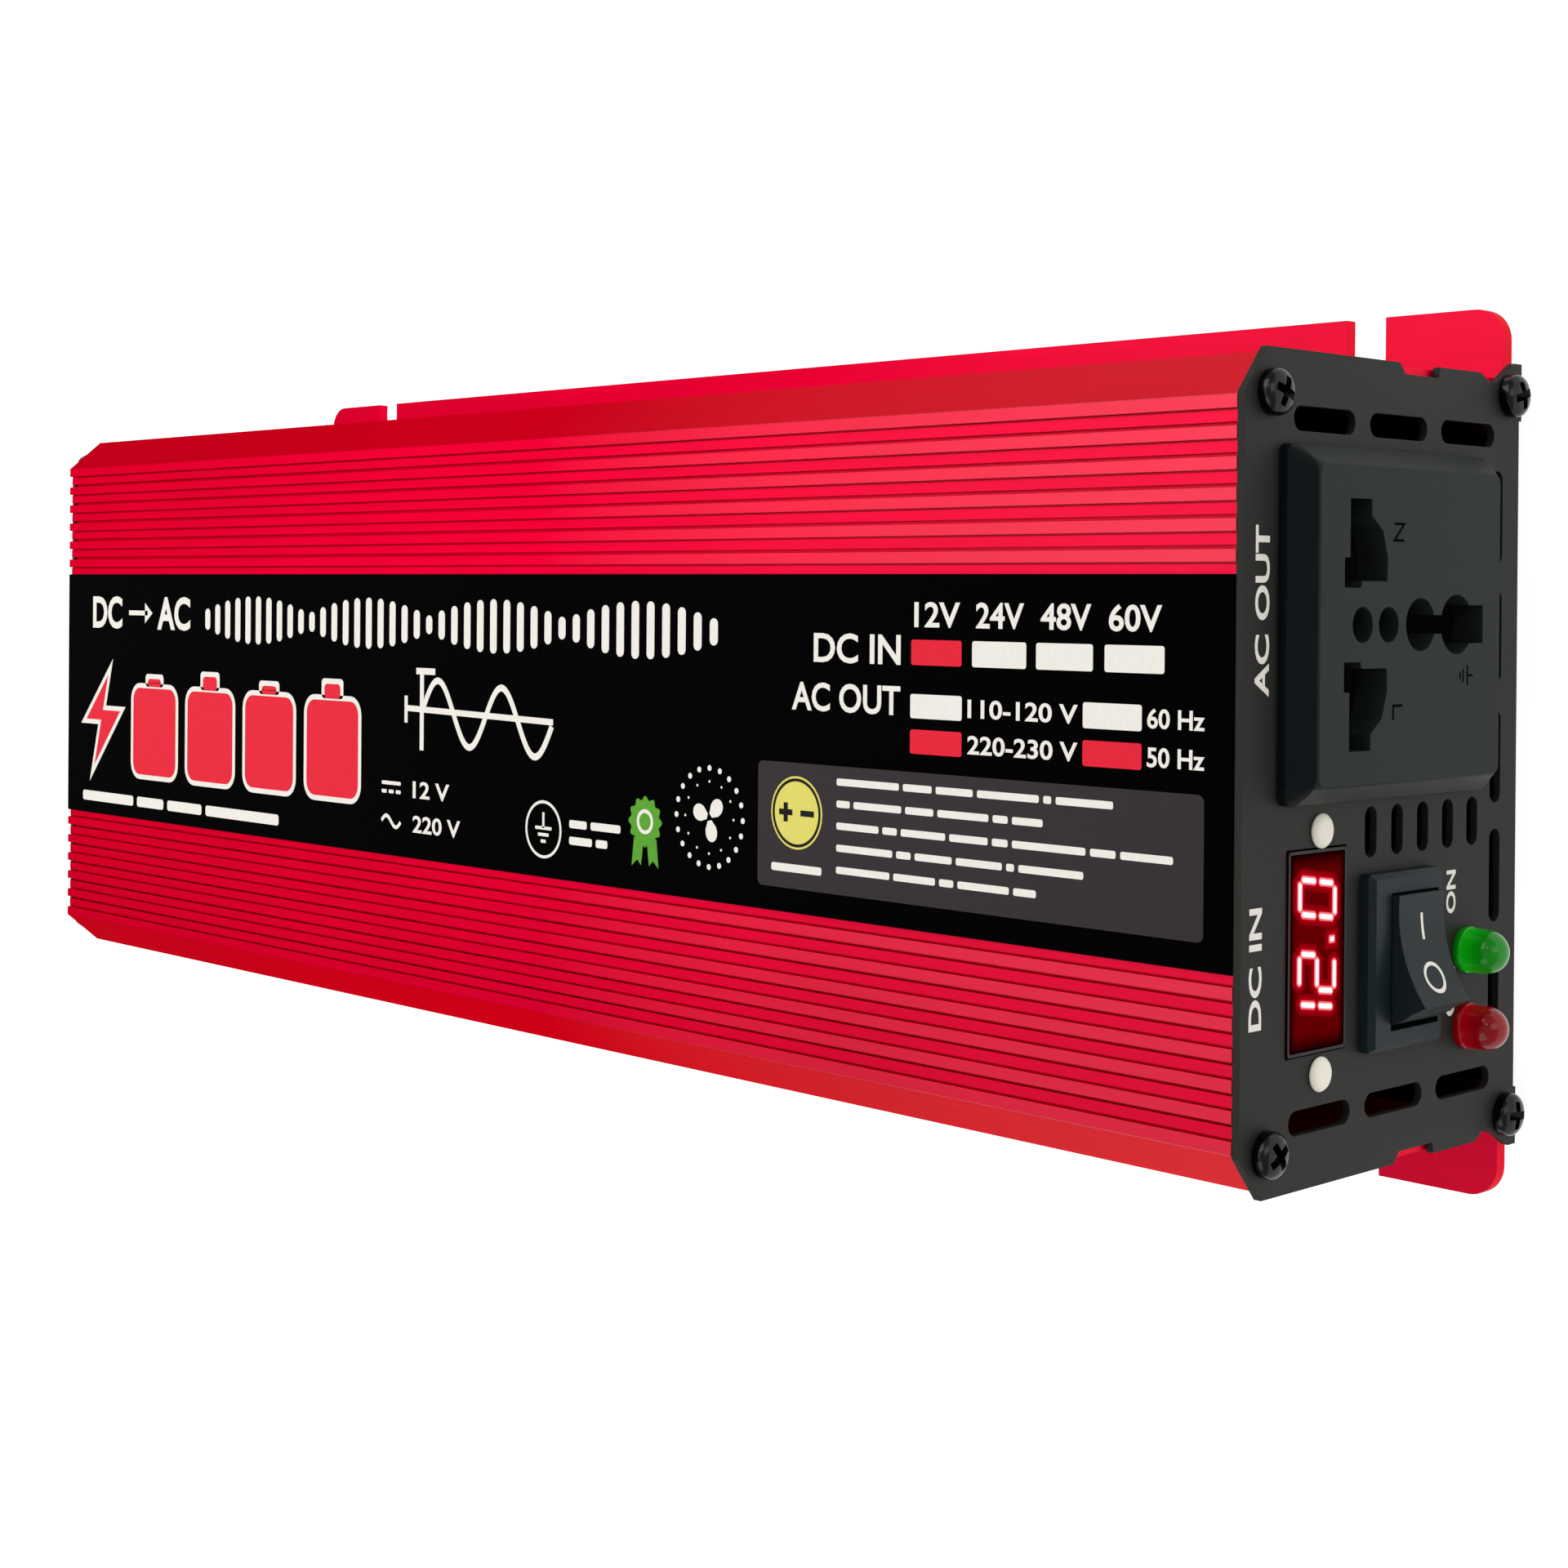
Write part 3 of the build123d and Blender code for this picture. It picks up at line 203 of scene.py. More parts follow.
class Finish:
    """A material written as expressions."""

    def __init__(self, name):
        self.material = bpy.data.materials.new(name)
        self.material.use_nodes = True
        self.tree = self.material.node_tree
        self.shader = self.tree.nodes["Principled BSDF"]
        self.place = self.node("ShaderNodeTexCoord", out="Object")

    def node(self, kind, settings=None, sockets=None, out=0):
        """Adds a node: its settings are set first, then its sockets' values or links."""
        made = self.tree.nodes.new(kind)
        for key, value in (settings or {}).items():
            if key == "stops":
                ramp = made.color_ramp
                while len(ramp.elements) < len(value):
                    ramp.elements.new(0.5)
                for element, (at, level) in zip(ramp.elements, value):
                    element.position = at
                    element.color = (level, level, level, 1)
            else:
                setattr(made, key, value)
        for key, value in (sockets or {}).items():
            if isinstance(value, Wire):
                self.tree.links.new(value.socket, made.inputs[key])
            else:
                made.inputs[key].default_value = value
        return Wire(self, made.outputs[out])

    def stretched(self, scale):
        """The place, scaled along each axis."""
        return self.node("ShaderNodeVectorMath", {"operation": "MULTIPLY"}, {0: self.place, 1: scale})

    def noise(self, scale, detail=3.0, rough=0.5, at=None):
        """Fractal noise with scale in cells per metre."""
        sockets = {"Vector": at or self.place, "Scale": scale, "Detail": detail, "Roughness": rough}
        return self.node("ShaderNodeTexNoise", {}, sockets)

    def cells(self, scale):
        """Distance to the nearest cell's middle."""
        return self.node("ShaderNodeTexVoronoi", {}, {"Vector": self.place, "Scale": scale})

    def ramp(self, value, *stops):
        return self.node("ShaderNodeValToRGB", {"stops": stops}, {0: value})

    def mix(self, mask, a, b):
        """Colour a where the mask is 0 and b where it is 1."""
        wires = {0: mask, 6: rgba(a), 7: rgba(b)}
        return self.node("ShaderNodeMix", {"data_type": "RGBA"}, wires, out=2)

    def axis(self, index):
        """One coordinate of the place."""
        return self.node("ShaderNodeSeparateXYZ", {}, {0: self.place}, out=index)

    def edges(self, radius):
        """Normal with softened edges."""
        return self.node("ShaderNodeBevel", {"samples": 4}, {"Radius": radius})

    def painted_edge_highlight(self, radius, start=0.02, end=0.12):
        """Mask that is 1 along outer edges."""
        geometry = self.node("ShaderNodeNewGeometry", out="Normal")
        normals = {0: self.edges(radius), 1: geometry}
        turned = self.node("ShaderNodeVectorMath", {"operation": "DOT_PRODUCT"}, normals, out="Value")
        return ((1 - turned - start) / (end - start)).clamped()

    def bump(self, height, strength, distance, normal=None):
        sockets = {"Height": height, "Strength": strength, "Distance": distance}
        if normal is not None:
            sockets["Normal"] = normal
        return self.node("ShaderNodeBump", {}, sockets)

    def done(self, **sockets):
        """Sets the main shader's sockets, whose names have underscores for spaces, and gives the material."""
        for key, value in sockets.items():
            target = self.shader.inputs[key.replace("_", " ")]
            if isinstance(value, Wire):
                self.tree.links.new(value.socket, target)
            else:
                target.default_value = rgba(value)
        return self.material


def rgba(value):
    """A colour with alpha, or any other value as it is."""
    if isinstance(value, (Wire, int, float)) or len(value) != 3:
        return value
    return (*value, 1.0)


def tint(value, factor):
    """A lighter or darker colour."""
    return tuple(min(1.0, c * factor) for c in value)


# ---------------------------------------------------------------- finishes


def red_anodised():
    """Satin dyed aluminium with fine blasting grain and faint lines along the extrusion."""
    f, c = Finish("red_anodised"), colours()
    grain = f.noise(5200, 2, 0.6)
    lines = f.noise(1, 4, 0.6, at=f.stretched((14, 900, 900)))
    cloud = f.noise(22, 3, 0.55)
    base = f.mix((cloud * 0.7 + lines * 0.5 - 0.25).clamped(), c.red, c.red_deep)
    speck = f.ramp(grain, (0.6, 0.0), (0.78, 1.0))
    base = f.mix(speck * 0.25, base, tint(c.red, 1.3))
    # Painted shade: inside the case, within the walls and under the roof, the colour turns almost black and
    # not metallic, standing in for the shade there.
    wall, roof = LABEL[1].y + 23.5 * MM, LABEL[1].z - 3.4 * MM
    inside = (f.axis(1).absolute() < wall) * (f.axis(2) < roof) * (f.axis(2) > 1.9 * MM)
    base = f.mix(inside * 0.995, base, (0.002, 0.0, 0.0))
    ridge = f.axis(2) > LABEL[1].z - 0.2 * MM
    polish = ((f.axis(0) - 0.01) / 0.13).clamped()
    height = grain * 0.6 + lines * 0.8
    normal = f.bump(height, 0.25, 0.03 * MM, f.edges(details().edge_r))
    return f.done(
        Base_Color=base, Metallic=1.0 - inside, Roughness=0.4 + lines * 0.1 + grain * 0.08, Normal=normal,
        Specular_Tint=(0.95, 0.1, 0.17), Coat_Weight=polish * (ridge * 0.6 + 0.15), Coat_Roughness=0.3,
        Specular_IOR_Level=0.02,
    )


def black_steel():
    """Fine-textured black powder coat on steel."""
    f, c = Finish("black_steel"), colours()
    texture = f.noise(3800, 3, 0.6)
    cloud = f.noise(40, 2, 0.5)
    base = f.mix((cloud * 1.4 - 0.3).clamped(), c.steel, tint(c.steel, 1.35))
    # Painted edge highlight: lighter along the outer edges.
    base = f.mix(f.painted_edge_highlight(0.12 * MM) * 0.5, base, tint(c.steel, 3.0))
    normal = f.bump(texture, 0.35, 0.05 * MM, f.edges(details().edge_r))
    return f.done(Base_Color=base, Roughness=0.46 + texture * 0.18, Normal=normal, Specular_IOR_Level=0.16)


def moulded(name, base, roughness, grain=2600, depth=0.02, spec=0.3, coat=0.0):
    """Moulded plastic with a fine spark-eroded grain."""
    f = Finish(name)
    fine = f.noise(grain, 3, 0.55)
    cloud = f.noise(55, 2, 0.5)
    tone = f.mix((cloud * 1.2 - 0.2).clamped(), base, tint(base, 1.25))
    # Painted edge highlight: lighter along the outer edges.
    tone = f.mix(f.painted_edge_highlight(0.1 * MM) * 0.4, tone, tint(base, 2.2))
    normal = f.bump(fine, 0.3, depth * MM, f.edges(details().edge_r))
    return f.done(
        Base_Color=tone, Roughness=roughness + fine * 0.12, Normal=normal, Specular_IOR_Level=spec,
        Coat_Weight=coat, Coat_Roughness=0.15,
    )


def socket_moulding():
    """Moulding of the socket, with the cover's upper bevel in painted shade and its right-hand bevel paler in
    blotches.
    """
    f, c = Finish("socket_moulding"), colours()
    fine = f.noise(2600, 3, 0.55)
    blotches = f.noise(420, 4, 0.7, at=f.stretched((1.0, 1.0, 0.4)))
    tone = f.mix((f.noise(55, 2, 0.5) * 1.2 - 0.2).clamped(), c.moulding, tint(c.moulding, 1.2))
    shade = ((f.axis(2) - (COVER[1].z - 2.2 * MM)) / (0.1 * MM)).clamped()
    pale = (((COVER[0].y + 2.1 * MM) - f.axis(1)) / (0.1 * MM)).clamped()
    # Paler in blotches along the cover's right-hand bevel, within 2.1 mm of its low-Y side.
    tone = f.mix(pale * (blotches * 0.7 + 0.3), tone, (0.06, 0.062, 0.058))
    tone = f.mix(shade * 0.95, tone, (0.0012, 0.0028, 0.004))
    normal = f.bump(fine, 0.3, 0.02 * MM, f.edges(details().edge_r))
    return f.done(Base_Color=tone, Roughness=0.44 + fine * 0.12, Normal=normal, Specular_IOR_Level=0.1)


def turned_metal(name, base, roughness=0.28, grain=900):
    """Machined or plated metal with fine tool lines and slight staining."""
    f = Finish(name)
    lines = f.noise(1, 3, 0.6, at=f.stretched((grain * 3, grain, grain)))
    stain = f.noise(160, 4, 0.6)
    tone = f.mix((stain * 1.6 - 0.5).clamped(), base, tint(base, 0.72))
    normal = f.bump(lines, 0.2, 0.02 * MM, f.edges(0.1 * MM))
    rough = roughness + stain * 0.15 + lines * 0.05
    return f.done(Base_Color=tone, Metallic=1.0, Roughness=rough, Normal=normal)


def ink(name, base, roughness=0.5, spec=0.15):
    """Printed ink with a slight mottle."""
    f = Finish(name)
    mottle = f.noise(1400, 3, 0.6)
    tone = f.mix((mottle * 1.5 - 0.4).clamped(), base, tint(base, 0.9))
    return f.done(Base_Color=tone, Roughness=roughness + mottle * 0.1, Specular_IOR_Level=spec)


def label_sheet_finish():
    """Black polyester sheet with a faint ripple."""
    f, c = Finish("label_black"), colours()
    ripple = f.noise(90, 3, 0.5)
    grain = f.noise(3000, 2, 0.5)
    normal = f.bump(ripple * 0.7 + grain * 0.3, 0.12, 0.05 * MM)
    tone = f.mix(grain * 0.5, c.label_black, tint(c.label_black, 1.8))
    return f.done(Base_Color=tone, Roughness=0.42 + grain * 0.1, Specular_IOR_Level=0.004, Normal=normal)


def coloured_epoxy(name, base, glow, foot=0.0, reach=0.0):
    """Clear tinted resin, lit a little from inside. Over a reach from its foot, a lamp has painted shade, a
    painted highlight ring and fading glow.
    """
    f = Finish(name)
    swirl = f.noise(700, 2, 0.5)
    tone = f.mix(swirl, base, tint(base, 1.3))
    light = tone
    if reach:
        # Painted shade and painted highlight on the lamp's own glow: dark at the foot, brightest in a ring
        # just past it, then fading over the reach.
        along = (f.axis(0) - foot) / reach
        rise = (along * 6.0 + 0.7).clamped()
        shade_ring_and_glow = rise * (1.0 - along * 1.6).clamped()
        light = f.mix(shade_ring_and_glow, tint(base, 0.35), tint(base, 2.2))
    return f.done(
        Base_Color=tone, Roughness=0.16 + swirl * 0.04, Transmission_Weight=0.1, IOR=1.3,
        Emission_Color=light, Emission_Strength=glow, Coat_Weight=0.2, Coat_Roughness=0.04,
    )


def glowing(name, base, strength):
    """Lit surface."""
    f = Finish(name)
    fine = f.noise(900, 2, 0.5)
    tone = f.mix(fine, base, tint(base, 0.85))
    return f.done(Base_Color=tint(base, 0.1), Roughness=0.4 + fine * 0.1, Emission_Color=tone,
                  Emission_Strength=strength, Specular_IOR_Level=0.0)


def smoked_window():
    """Red-smoked acrylic in front of the digits."""
    f = Finish("smoked_window")
    fine = f.noise(1200, 2, 0.5)
    glow = f.noise(160, 1, 0.5)
    tone = f.mix(glow, (0.012, 0.0, 0.001), (0.02, 0.0, 0.002))
    return f.done(Base_Color=tone, Roughness=0.2 + fine * 0.06, Specular_IOR_Level=0.1)


def circuit_board_finish():
    """Green solder mask over copper tracks."""
    f = Finish("circuit_board")
    x, y = f.axis(0), f.axis(1)
    wander = f.noise(90, 1, 0.4)
    track = (((y + wander * 0.006).repeat(0.0042) - 0.0021).absolute() < 0.0008)
    cross = (((x + wander * 0.004).repeat(0.011) - 0.0055).absolute() < 0.0009)
    mask = (track + cross).clamped()
    tone = f.mix(mask, (0.008, 0.075, 0.02), (0.03, 0.17, 0.05))
    pads = f.cells(210) < 0.16
    tone = f.mix(pads, tone, (0.55, 0.54, 0.5))
    return f.done(Base_Color=tone, Roughness=0.3 + wander * 0.1, Metallic=pads * 0.9,
                  Normal=f.bump(mask, 0.4, 0.05 * MM))


def ferrite():
    """Sintered ferrite with small chips and pores."""
    f = Finish("ferrite")
    pores = f.cells(900)
    tone = f.mix(pores, (0.035, 0.036, 0.04), (0.08, 0.08, 0.085))
    return f.done(Base_Color=tone, Roughness=0.6, Normal=f.bump(pores, 0.3, 0.05 * MM, f.edges(0.3 * MM)))


def wound(name, base, pitch, metallic=0.0, axis=2):
    """Tape or wire wound at a pitch."""
    f = Finish(name)
    turn = (f.axis(axis).repeat(pitch) - pitch / 2).absolute() * (2 / pitch)
    # Painted shade: darker towards the edges of each turn, in the creases where neighbouring turns meet.
    tone = f.mix(turn, base, tint(base, 0.55))
    normal = f.bump(1 - turn, 0.6, pitch * 0.3)
    return f.done(Base_Color=tone, Roughness=0.35, Metallic=metallic, Normal=normal)


def can_sleeve():
    """Shrunk sleeve of a capacitor with its pale stripe."""
    f = Finish("capacitor_sleeve")
    fine = f.noise(900, 2, 0.5)
    stripe = (f.axis(1).repeat(0.016) - 0.008).absolute() < 0.0012
    tone = f.mix(stripe * 0.8, (0.02, 0.035, 0.1), (0.5, 0.52, 0.56))
    return f.done(Base_Color=tone, Roughness=0.22 + fine * 0.1, Normal=f.bump(fine, 0.1, 0.02 * MM))


# ---------------------------------------------------------------- mesh helpers


def finish_nodes(material, *names):
    """Gives a finish to CAD nodes."""
    for name in names:
        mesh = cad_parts[name].data
        mesh.materials.clear()
        mesh.materials.append(material)


def piece(name, bm, material, body, replaces=(), smooth=None):
    """Turns a bmesh into a piece that rides on a body."""
    bmesh.ops.recalc_face_normals(bm, faces=bm.faces)
    mesh = bpy.data.meshes.new(name)
    bm.to_mesh(mesh)
    bm.free()
    made = bpy.data.objects.new(name, mesh)
    bpy.context.scene.collection.objects.link(made)
    mesh.materials.append(material)
    if smooth is not None:
        mesh.shade_smooth()
        mesh.set_sharp_from_angle(angle=math.radians(smooth))
    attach(made, body)
    if replaces:
        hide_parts(*replaces)
    return made


class Sheet:
    """Flat print drawn in millimetres on a face, a hair thick. Each layer lies on the one below."""

    def __init__(self, origin, right, up):
        self.bm = bmesh.new()
        right, up = Vector(right), Vector(up)
        turn = Matrix((right, up, right.cross(up))).transposed().to_4x4()
        self.place = Matrix.Translation(origin) @ turn
        self.t = details().print_t

    def point(self, u, v, level):
        return self.bm.verts.new(self.place @ Vector((u * MM, v * MM, level * self.t)))

    def prism(self, outline, layer=1):
        """A closed outline, from the face up to a layer."""
        bottom = [self.point(u, v, 0) for u, v in outline]
        top = [self.point(u, v, layer) for u, v in outline]
        count = len(outline)
        for k in range(count):
            n = (k + 1) % count
            self.bm.faces.new((bottom[k], bottom[n], top[n], top[k]))
        self.bm.faces.new(bottom[::-1])
        self.bm.faces.new(top)

    def line(self, points, width, closed=False, layer=1):
        """A stroke of even width through the points."""
        rows = []
        count = len(points)
        for k, (u, v) in enumerate(points):
            here = Vector((u, v))
            before = Vector(points[k - 1]) if closed or k else here
            after = Vector(points[(k + 1) % count]) if closed or k < count - 1 else here
            sides = [d.normalized().orthogonal() for d in (here - before, after - here) if d.length > 1e-9]
            across = sum(sides, Vector((0, 0)))
            across *= width / 2 * len(sides) / across.length_squared
            a, b = here + across, here - across
            rows.append([self.point(*a, 0), self.point(*a, layer), self.point(*b, layer), self.point(*b, 0)])
        for k in range(count if closed else count - 1):
            one, two = rows[k], rows[(k + 1) % count]
            for e in range(4):
                n = (e + 1) % 4
                self.bm.faces.new((one[e], one[n], two[n], two[e]))
        if not closed:
            self.bm.faces.new(rows[0])
            self.bm.faces.new(rows[-1])

    def bar(self, u0, v0, u1, v1, radius=0.0, layer=1):
        """A rounded rectangle."""
        self.prism(rounded(u0, v0, u1, v1, radius), layer)

    def frame(self, u0, v0, u1, v1, radius, width, layer=1):
        """The outline of a rounded rectangle, whose middle line runs through the given limits."""
        self.line(rounded(u0, v0, u1, v1, radius), width, True, layer)

    def ring(self, u, v, r, width, layer=1):
        self.line(circle(u, v, r, 40), width, True, layer)

    def disc(self, u, v, r, steps=32, layer=1):
        self.prism(circle(u, v, r, steps), layer)

    def greeked(self, u0, u1, v, height, words, layer=1):
        """A line of print too small to read: one bar for each word, by its share of the line."""
        gap = height * 0.75
        whole = u1 - u0 - gap * (len(words) - 1)
        u = u0
        for share in words:
            wide = whole * share / sum(words)
            self.bar(u, v - height / 2, u + wide, v + height / 2, height * 0.3, layer)
            u += wide + gap

    def text(self, words, u0, v0, u1, v1, weight=0.02):
        """Lettering that fills a box, with its weight as a share of its height."""
        curve = bpy.data.curves.new("lettering", "FONT")
        curve.body = words
        curve.offset = weight
        curve.extrude = 0.5
        curve.resolution_u = 4
        holder = bpy.data.objects.new("lettering", curve)
        bpy.context.scene.collection.objects.link(holder)
        mesh = bpy.data.meshes.new_from_object(holder)
        bpy.data.objects.remove(holder)
        xs = [v.co.x for v in mesh.vertices]
        ys = [v.co.y for v in mesh.vertices]
        wide, high = max(xs) - min(xs), max(ys) - min(ys)
        size = Matrix.Diagonal(((u1 - u0) / wide * MM, (v1 - v0) / high * MM, self.t, 1))
        shift = Matrix.Translation((u0 * MM, v0 * MM, 0))
        mesh.transform(self.place @ shift @ size @ Matrix.Translation((-min(xs), -min(ys), 0.5)))
        self.bm.from_mesh(mesh)
        bpy.data.meshes.remove(mesh)

    def drape(self, node):
        """Moves the print along -X onto a node's surface."""
        mesh = bmesh.new()
        mesh.from_mesh(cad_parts[node].data)
        tree = BVHTree.FromBMesh(mesh)
        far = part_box(node)[1].x + 0.01
        base = self.place.translation.x
        for vert in self.bm.verts:
            hit = tree.ray_cast(Vector((far, vert.co.y, vert.co.z)), Vector((-1, 0, 0)))[0]
            vert.co.x = hit.x + vert.co.x - base
        mesh.free()

    def piece(self, name, material, body, slot):
        bmesh.ops.remove_doubles(self.bm, verts=self.bm.verts, dist=1e-8)
        return piece(name, self.bm, material, body)


def circle(u, v, r, steps):
    return [(u + r * math.cos(2 * math.pi * k / steps), v + r * math.sin(2 * math.pi * k / steps))
            for k in range(steps)]


def rounded(u0, v0, u1, v1, radius):
    """Outline of a rounded rectangle, anticlockwise."""
    if radius <= 0:
        return [(u0, v0), (u1, v0), (u1, v1), (u0, v1)]
    points = []
    corners = ((u1 - radius, v1 - radius), (u0 + radius, v1 - radius), (u0 + radius, v0 + radius),
               (u1 - radius, v0 + radius))
    for k, (u, v) in enumerate(corners):
        for step in range(7):
            angle = math.radians(90 * k + 15 * step)
            points.append((u + radius * math.cos(angle), v + radius * math.sin(angle)))
    return points


def end_sheet(x, out=1):
    """A sheet on a face that points along the frame's X, or against it."""
    return Sheet(Vector((x, 0, 0)), (0, out, 0), (0, 0, 1))


def spun(profile, place):
    """A solid of revolution about its own X axis, from (along, radius) pairs in millimetres."""
    steps = details().steps
    bm = bmesh.new()
    rings = []
    for along, r in profile:
        if r < 1e-6:
            rings.append([bm.verts.new(place @ Vector((along * MM, 0, 0)))])
            continue
        ring = []
        for k in range(steps):
            angle = 2 * math.pi * k / steps
            at = Vector((along * MM, r * MM * math.cos(angle), r * MM * math.sin(angle)))
            ring.append(bm.verts.new(place @ at))
        rings.append(ring)
    for a, b in zip(rings, rings[1:]):
        for k in range(steps):
            n = (k + 1) % steps
            if len(a) == 1:
                bm.faces.new((a[0], b[k], b[n]))
            elif len(b) == 1:
                bm.faces.new((a[k], a[n], b[0]))
            else:
                bm.faces.new((a[k], a[n], b[n], b[k]))
    return bm


def merged(parts):
    """Several bmeshes in one."""
    whole = bmesh.new()
    for part in parts:
        mesh = bpy.data.meshes.new("part")
        part.to_mesh(mesh)
        part.free()
        whole.from_mesh(mesh)
        bpy.data.meshes.remove(mesh)
    return whole


def cut(bm, cutter):
    """bm with the cutter's volume taken away, worked out at a thousand times the size."""
    objects = []
    for part in (bm, cutter):
        part.transform(Matrix.Scale(1 / MM, 4))
        bmesh.ops.recalc_face_normals(part, faces=part.faces)
        mesh = bpy.data.meshes.new("part")
        part.to_mesh(mesh)
        part.free()
        made = bpy.data.objects.new("part", mesh)
        bpy.context.scene.collection.objects.link(made)
        objects.append(made)
    kept, tool = objects
    boolean = kept.modifiers.new("cut", "BOOLEAN")
    boolean.operation = "DIFFERENCE"
    boolean.object = tool
    boolean.solver = "EXACT"
    boolean.use_self = True
    bpy.context.view_layer.update()
    result = bmesh.new()
    result.from_mesh(kept.evaluated_get(bpy.context.evaluated_depsgraph_get()).data)
    result.transform(Matrix.Scale(MM, 4))
    for made in objects:
        bpy.data.objects.remove(made)
    return result


def islands(name):
    """Boxes of the separate solids in a CAD node, in millimetres."""
    bm = bmesh.new()
    bm.from_mesh(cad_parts[name].data)
    bmesh.ops.remove_doubles(bm, verts=bm.verts, dist=1e-7)
    left = set(bm.verts)
    boxes = []
    while left:
        queue = [left.pop()]
        found = list(queue)
        while queue:
            for edge in queue.pop().link_edges:
                for vert in edge.verts:
                    if vert in left:
                        left.remove(vert)
                        queue.append(vert)
                        found.append(vert)
        low = Vector(min(v.co[i] for v in found) for i in range(3)) / MM
        high = Vector(max(v.co[i] for v in found) for i in range(3)) / MM
        boxes.append((low, high))
    bm.free()
    return sorted(boxes, key=lambda box: tuple(box[0]))


def along_x(x, y, z, out=1):
    """A placement whose own X axis points along the frame's X, or against it."""
    turn = Matrix.Rotation(0 if out > 0 else math.pi, 4, "Z")
    return Matrix.Translation((x * MM, y * MM, z * MM)) @ turn


# ---------------------------------------------------------------- operators


class INVERTER_OT_finishes(bpy.types.Operator):
    """Give every part of the model its finish."""

    bl_idname = "inverter.finishes"
    bl_label = "Finishes"

    def execute(self, context):
        c = colours()
        finish_nodes(red_anodised(), "case_shell", "base_plate")
        finish_nodes(black_steel(), "front_end_plate", "rear_end_plate")
        finish_nodes(label_sheet_finish(), "label_sheet")
        finish_nodes(socket_moulding(), "socket_cover", "socket_body")
        switch = moulded("switch_moulding", c.switch, 0.34, 2200, spec=0.14)
        finish_nodes(switch, "rocker_frame", "rocker_button")
        finish_nodes(smoked_window(), "voltmeter_lens")
        finish_nodes(moulded("display_body", (0.1, 0.1, 0.1), 0.5), "voltmeter_display")
        boards = ("voltmeter_board", "indicator_board", "main_board", "driver_board")
        finish_nodes(circuit_board_finish(), *boards)
        brass = turned_metal("brass", (0.78, 0.56, 0.22))
        finish_nodes(brass, "stud_positive", "stud_negative", "knob_insert_positive", "knob_insert_negative",
                     "socket_neutral_contact", "socket_line_contact", "socket_earth_contact",
                     "rocker_terminals")
        zinc = turned_metal("zinc_plate", (0.62, 0.63, 0.64), 0.3)
        finish_nodes(zinc, "washer_positive", "washer_negative", "stud_nuts", "fan_nuts", "board_screws",
                     "board_standoffs", "clamp_screws", "clamp_bars", "fan_screws")
        finish_nodes(turned_metal("copper", (0.86, 0.38, 0.2)), "strap_positive", "strap_negative")
        finish_nodes(turned_metal("bright_wire", (0.72, 0.73, 0.75), 0.16), "fan_guard")
        finish_nodes(moulded("fan_moulding", (0.018, 0.018, 0.019), 0.34), "fan_frame", "fan_rotor")
        finish_nodes(moulded("red_moulding", (0.5, 0.008, 0.012), 0.3, coat=0.3), "knob_positive",
                     "bushing_positive")
        finish_nodes(moulded("black_moulding", (0.016, 0.016, 0.017), 0.3, coat=0.3), "knob_negative",
                     "bushing_negative", "transformer_bobbins", "buzzer")
        finish_nodes(ferrite(), "transformer_cores")
        finish_nodes(moulded("powdered_core", (0.55, 0.42, 0.04), 0.5), "choke_core")
        finish_nodes(wound("winding_tape", (0.7, 0.56, 0.08), 3.1 * MM), "transformer_windings")
        finish_nodes(wound("enamelled_wire", (0.62, 0.22, 0.08), 1.1 * MM, 0.85, 0), "choke_winding")
        finish_nodes(can_sleeve(), "input_capacitors", "bulk_capacitors")
        finish_nodes(moulded("chip_epoxy", (0.02, 0.02, 0.021), 0.55), "input_mosfets", "output_mosfets")
        finish_nodes(moulded("silicone_pad", (0.42, 0.44, 0.46), 0.7), "insulator_pads")
        finish_nodes(coloured_epoxy("fuse_plastic", (0.05, 0.3, 0.04), 0.0), "blade_fuses")
        finish_nodes(moulded("lead_sleeve", (0.5, 0.02, 0.02), 0.35), "ac_leads")
        return {"FINISHED"}


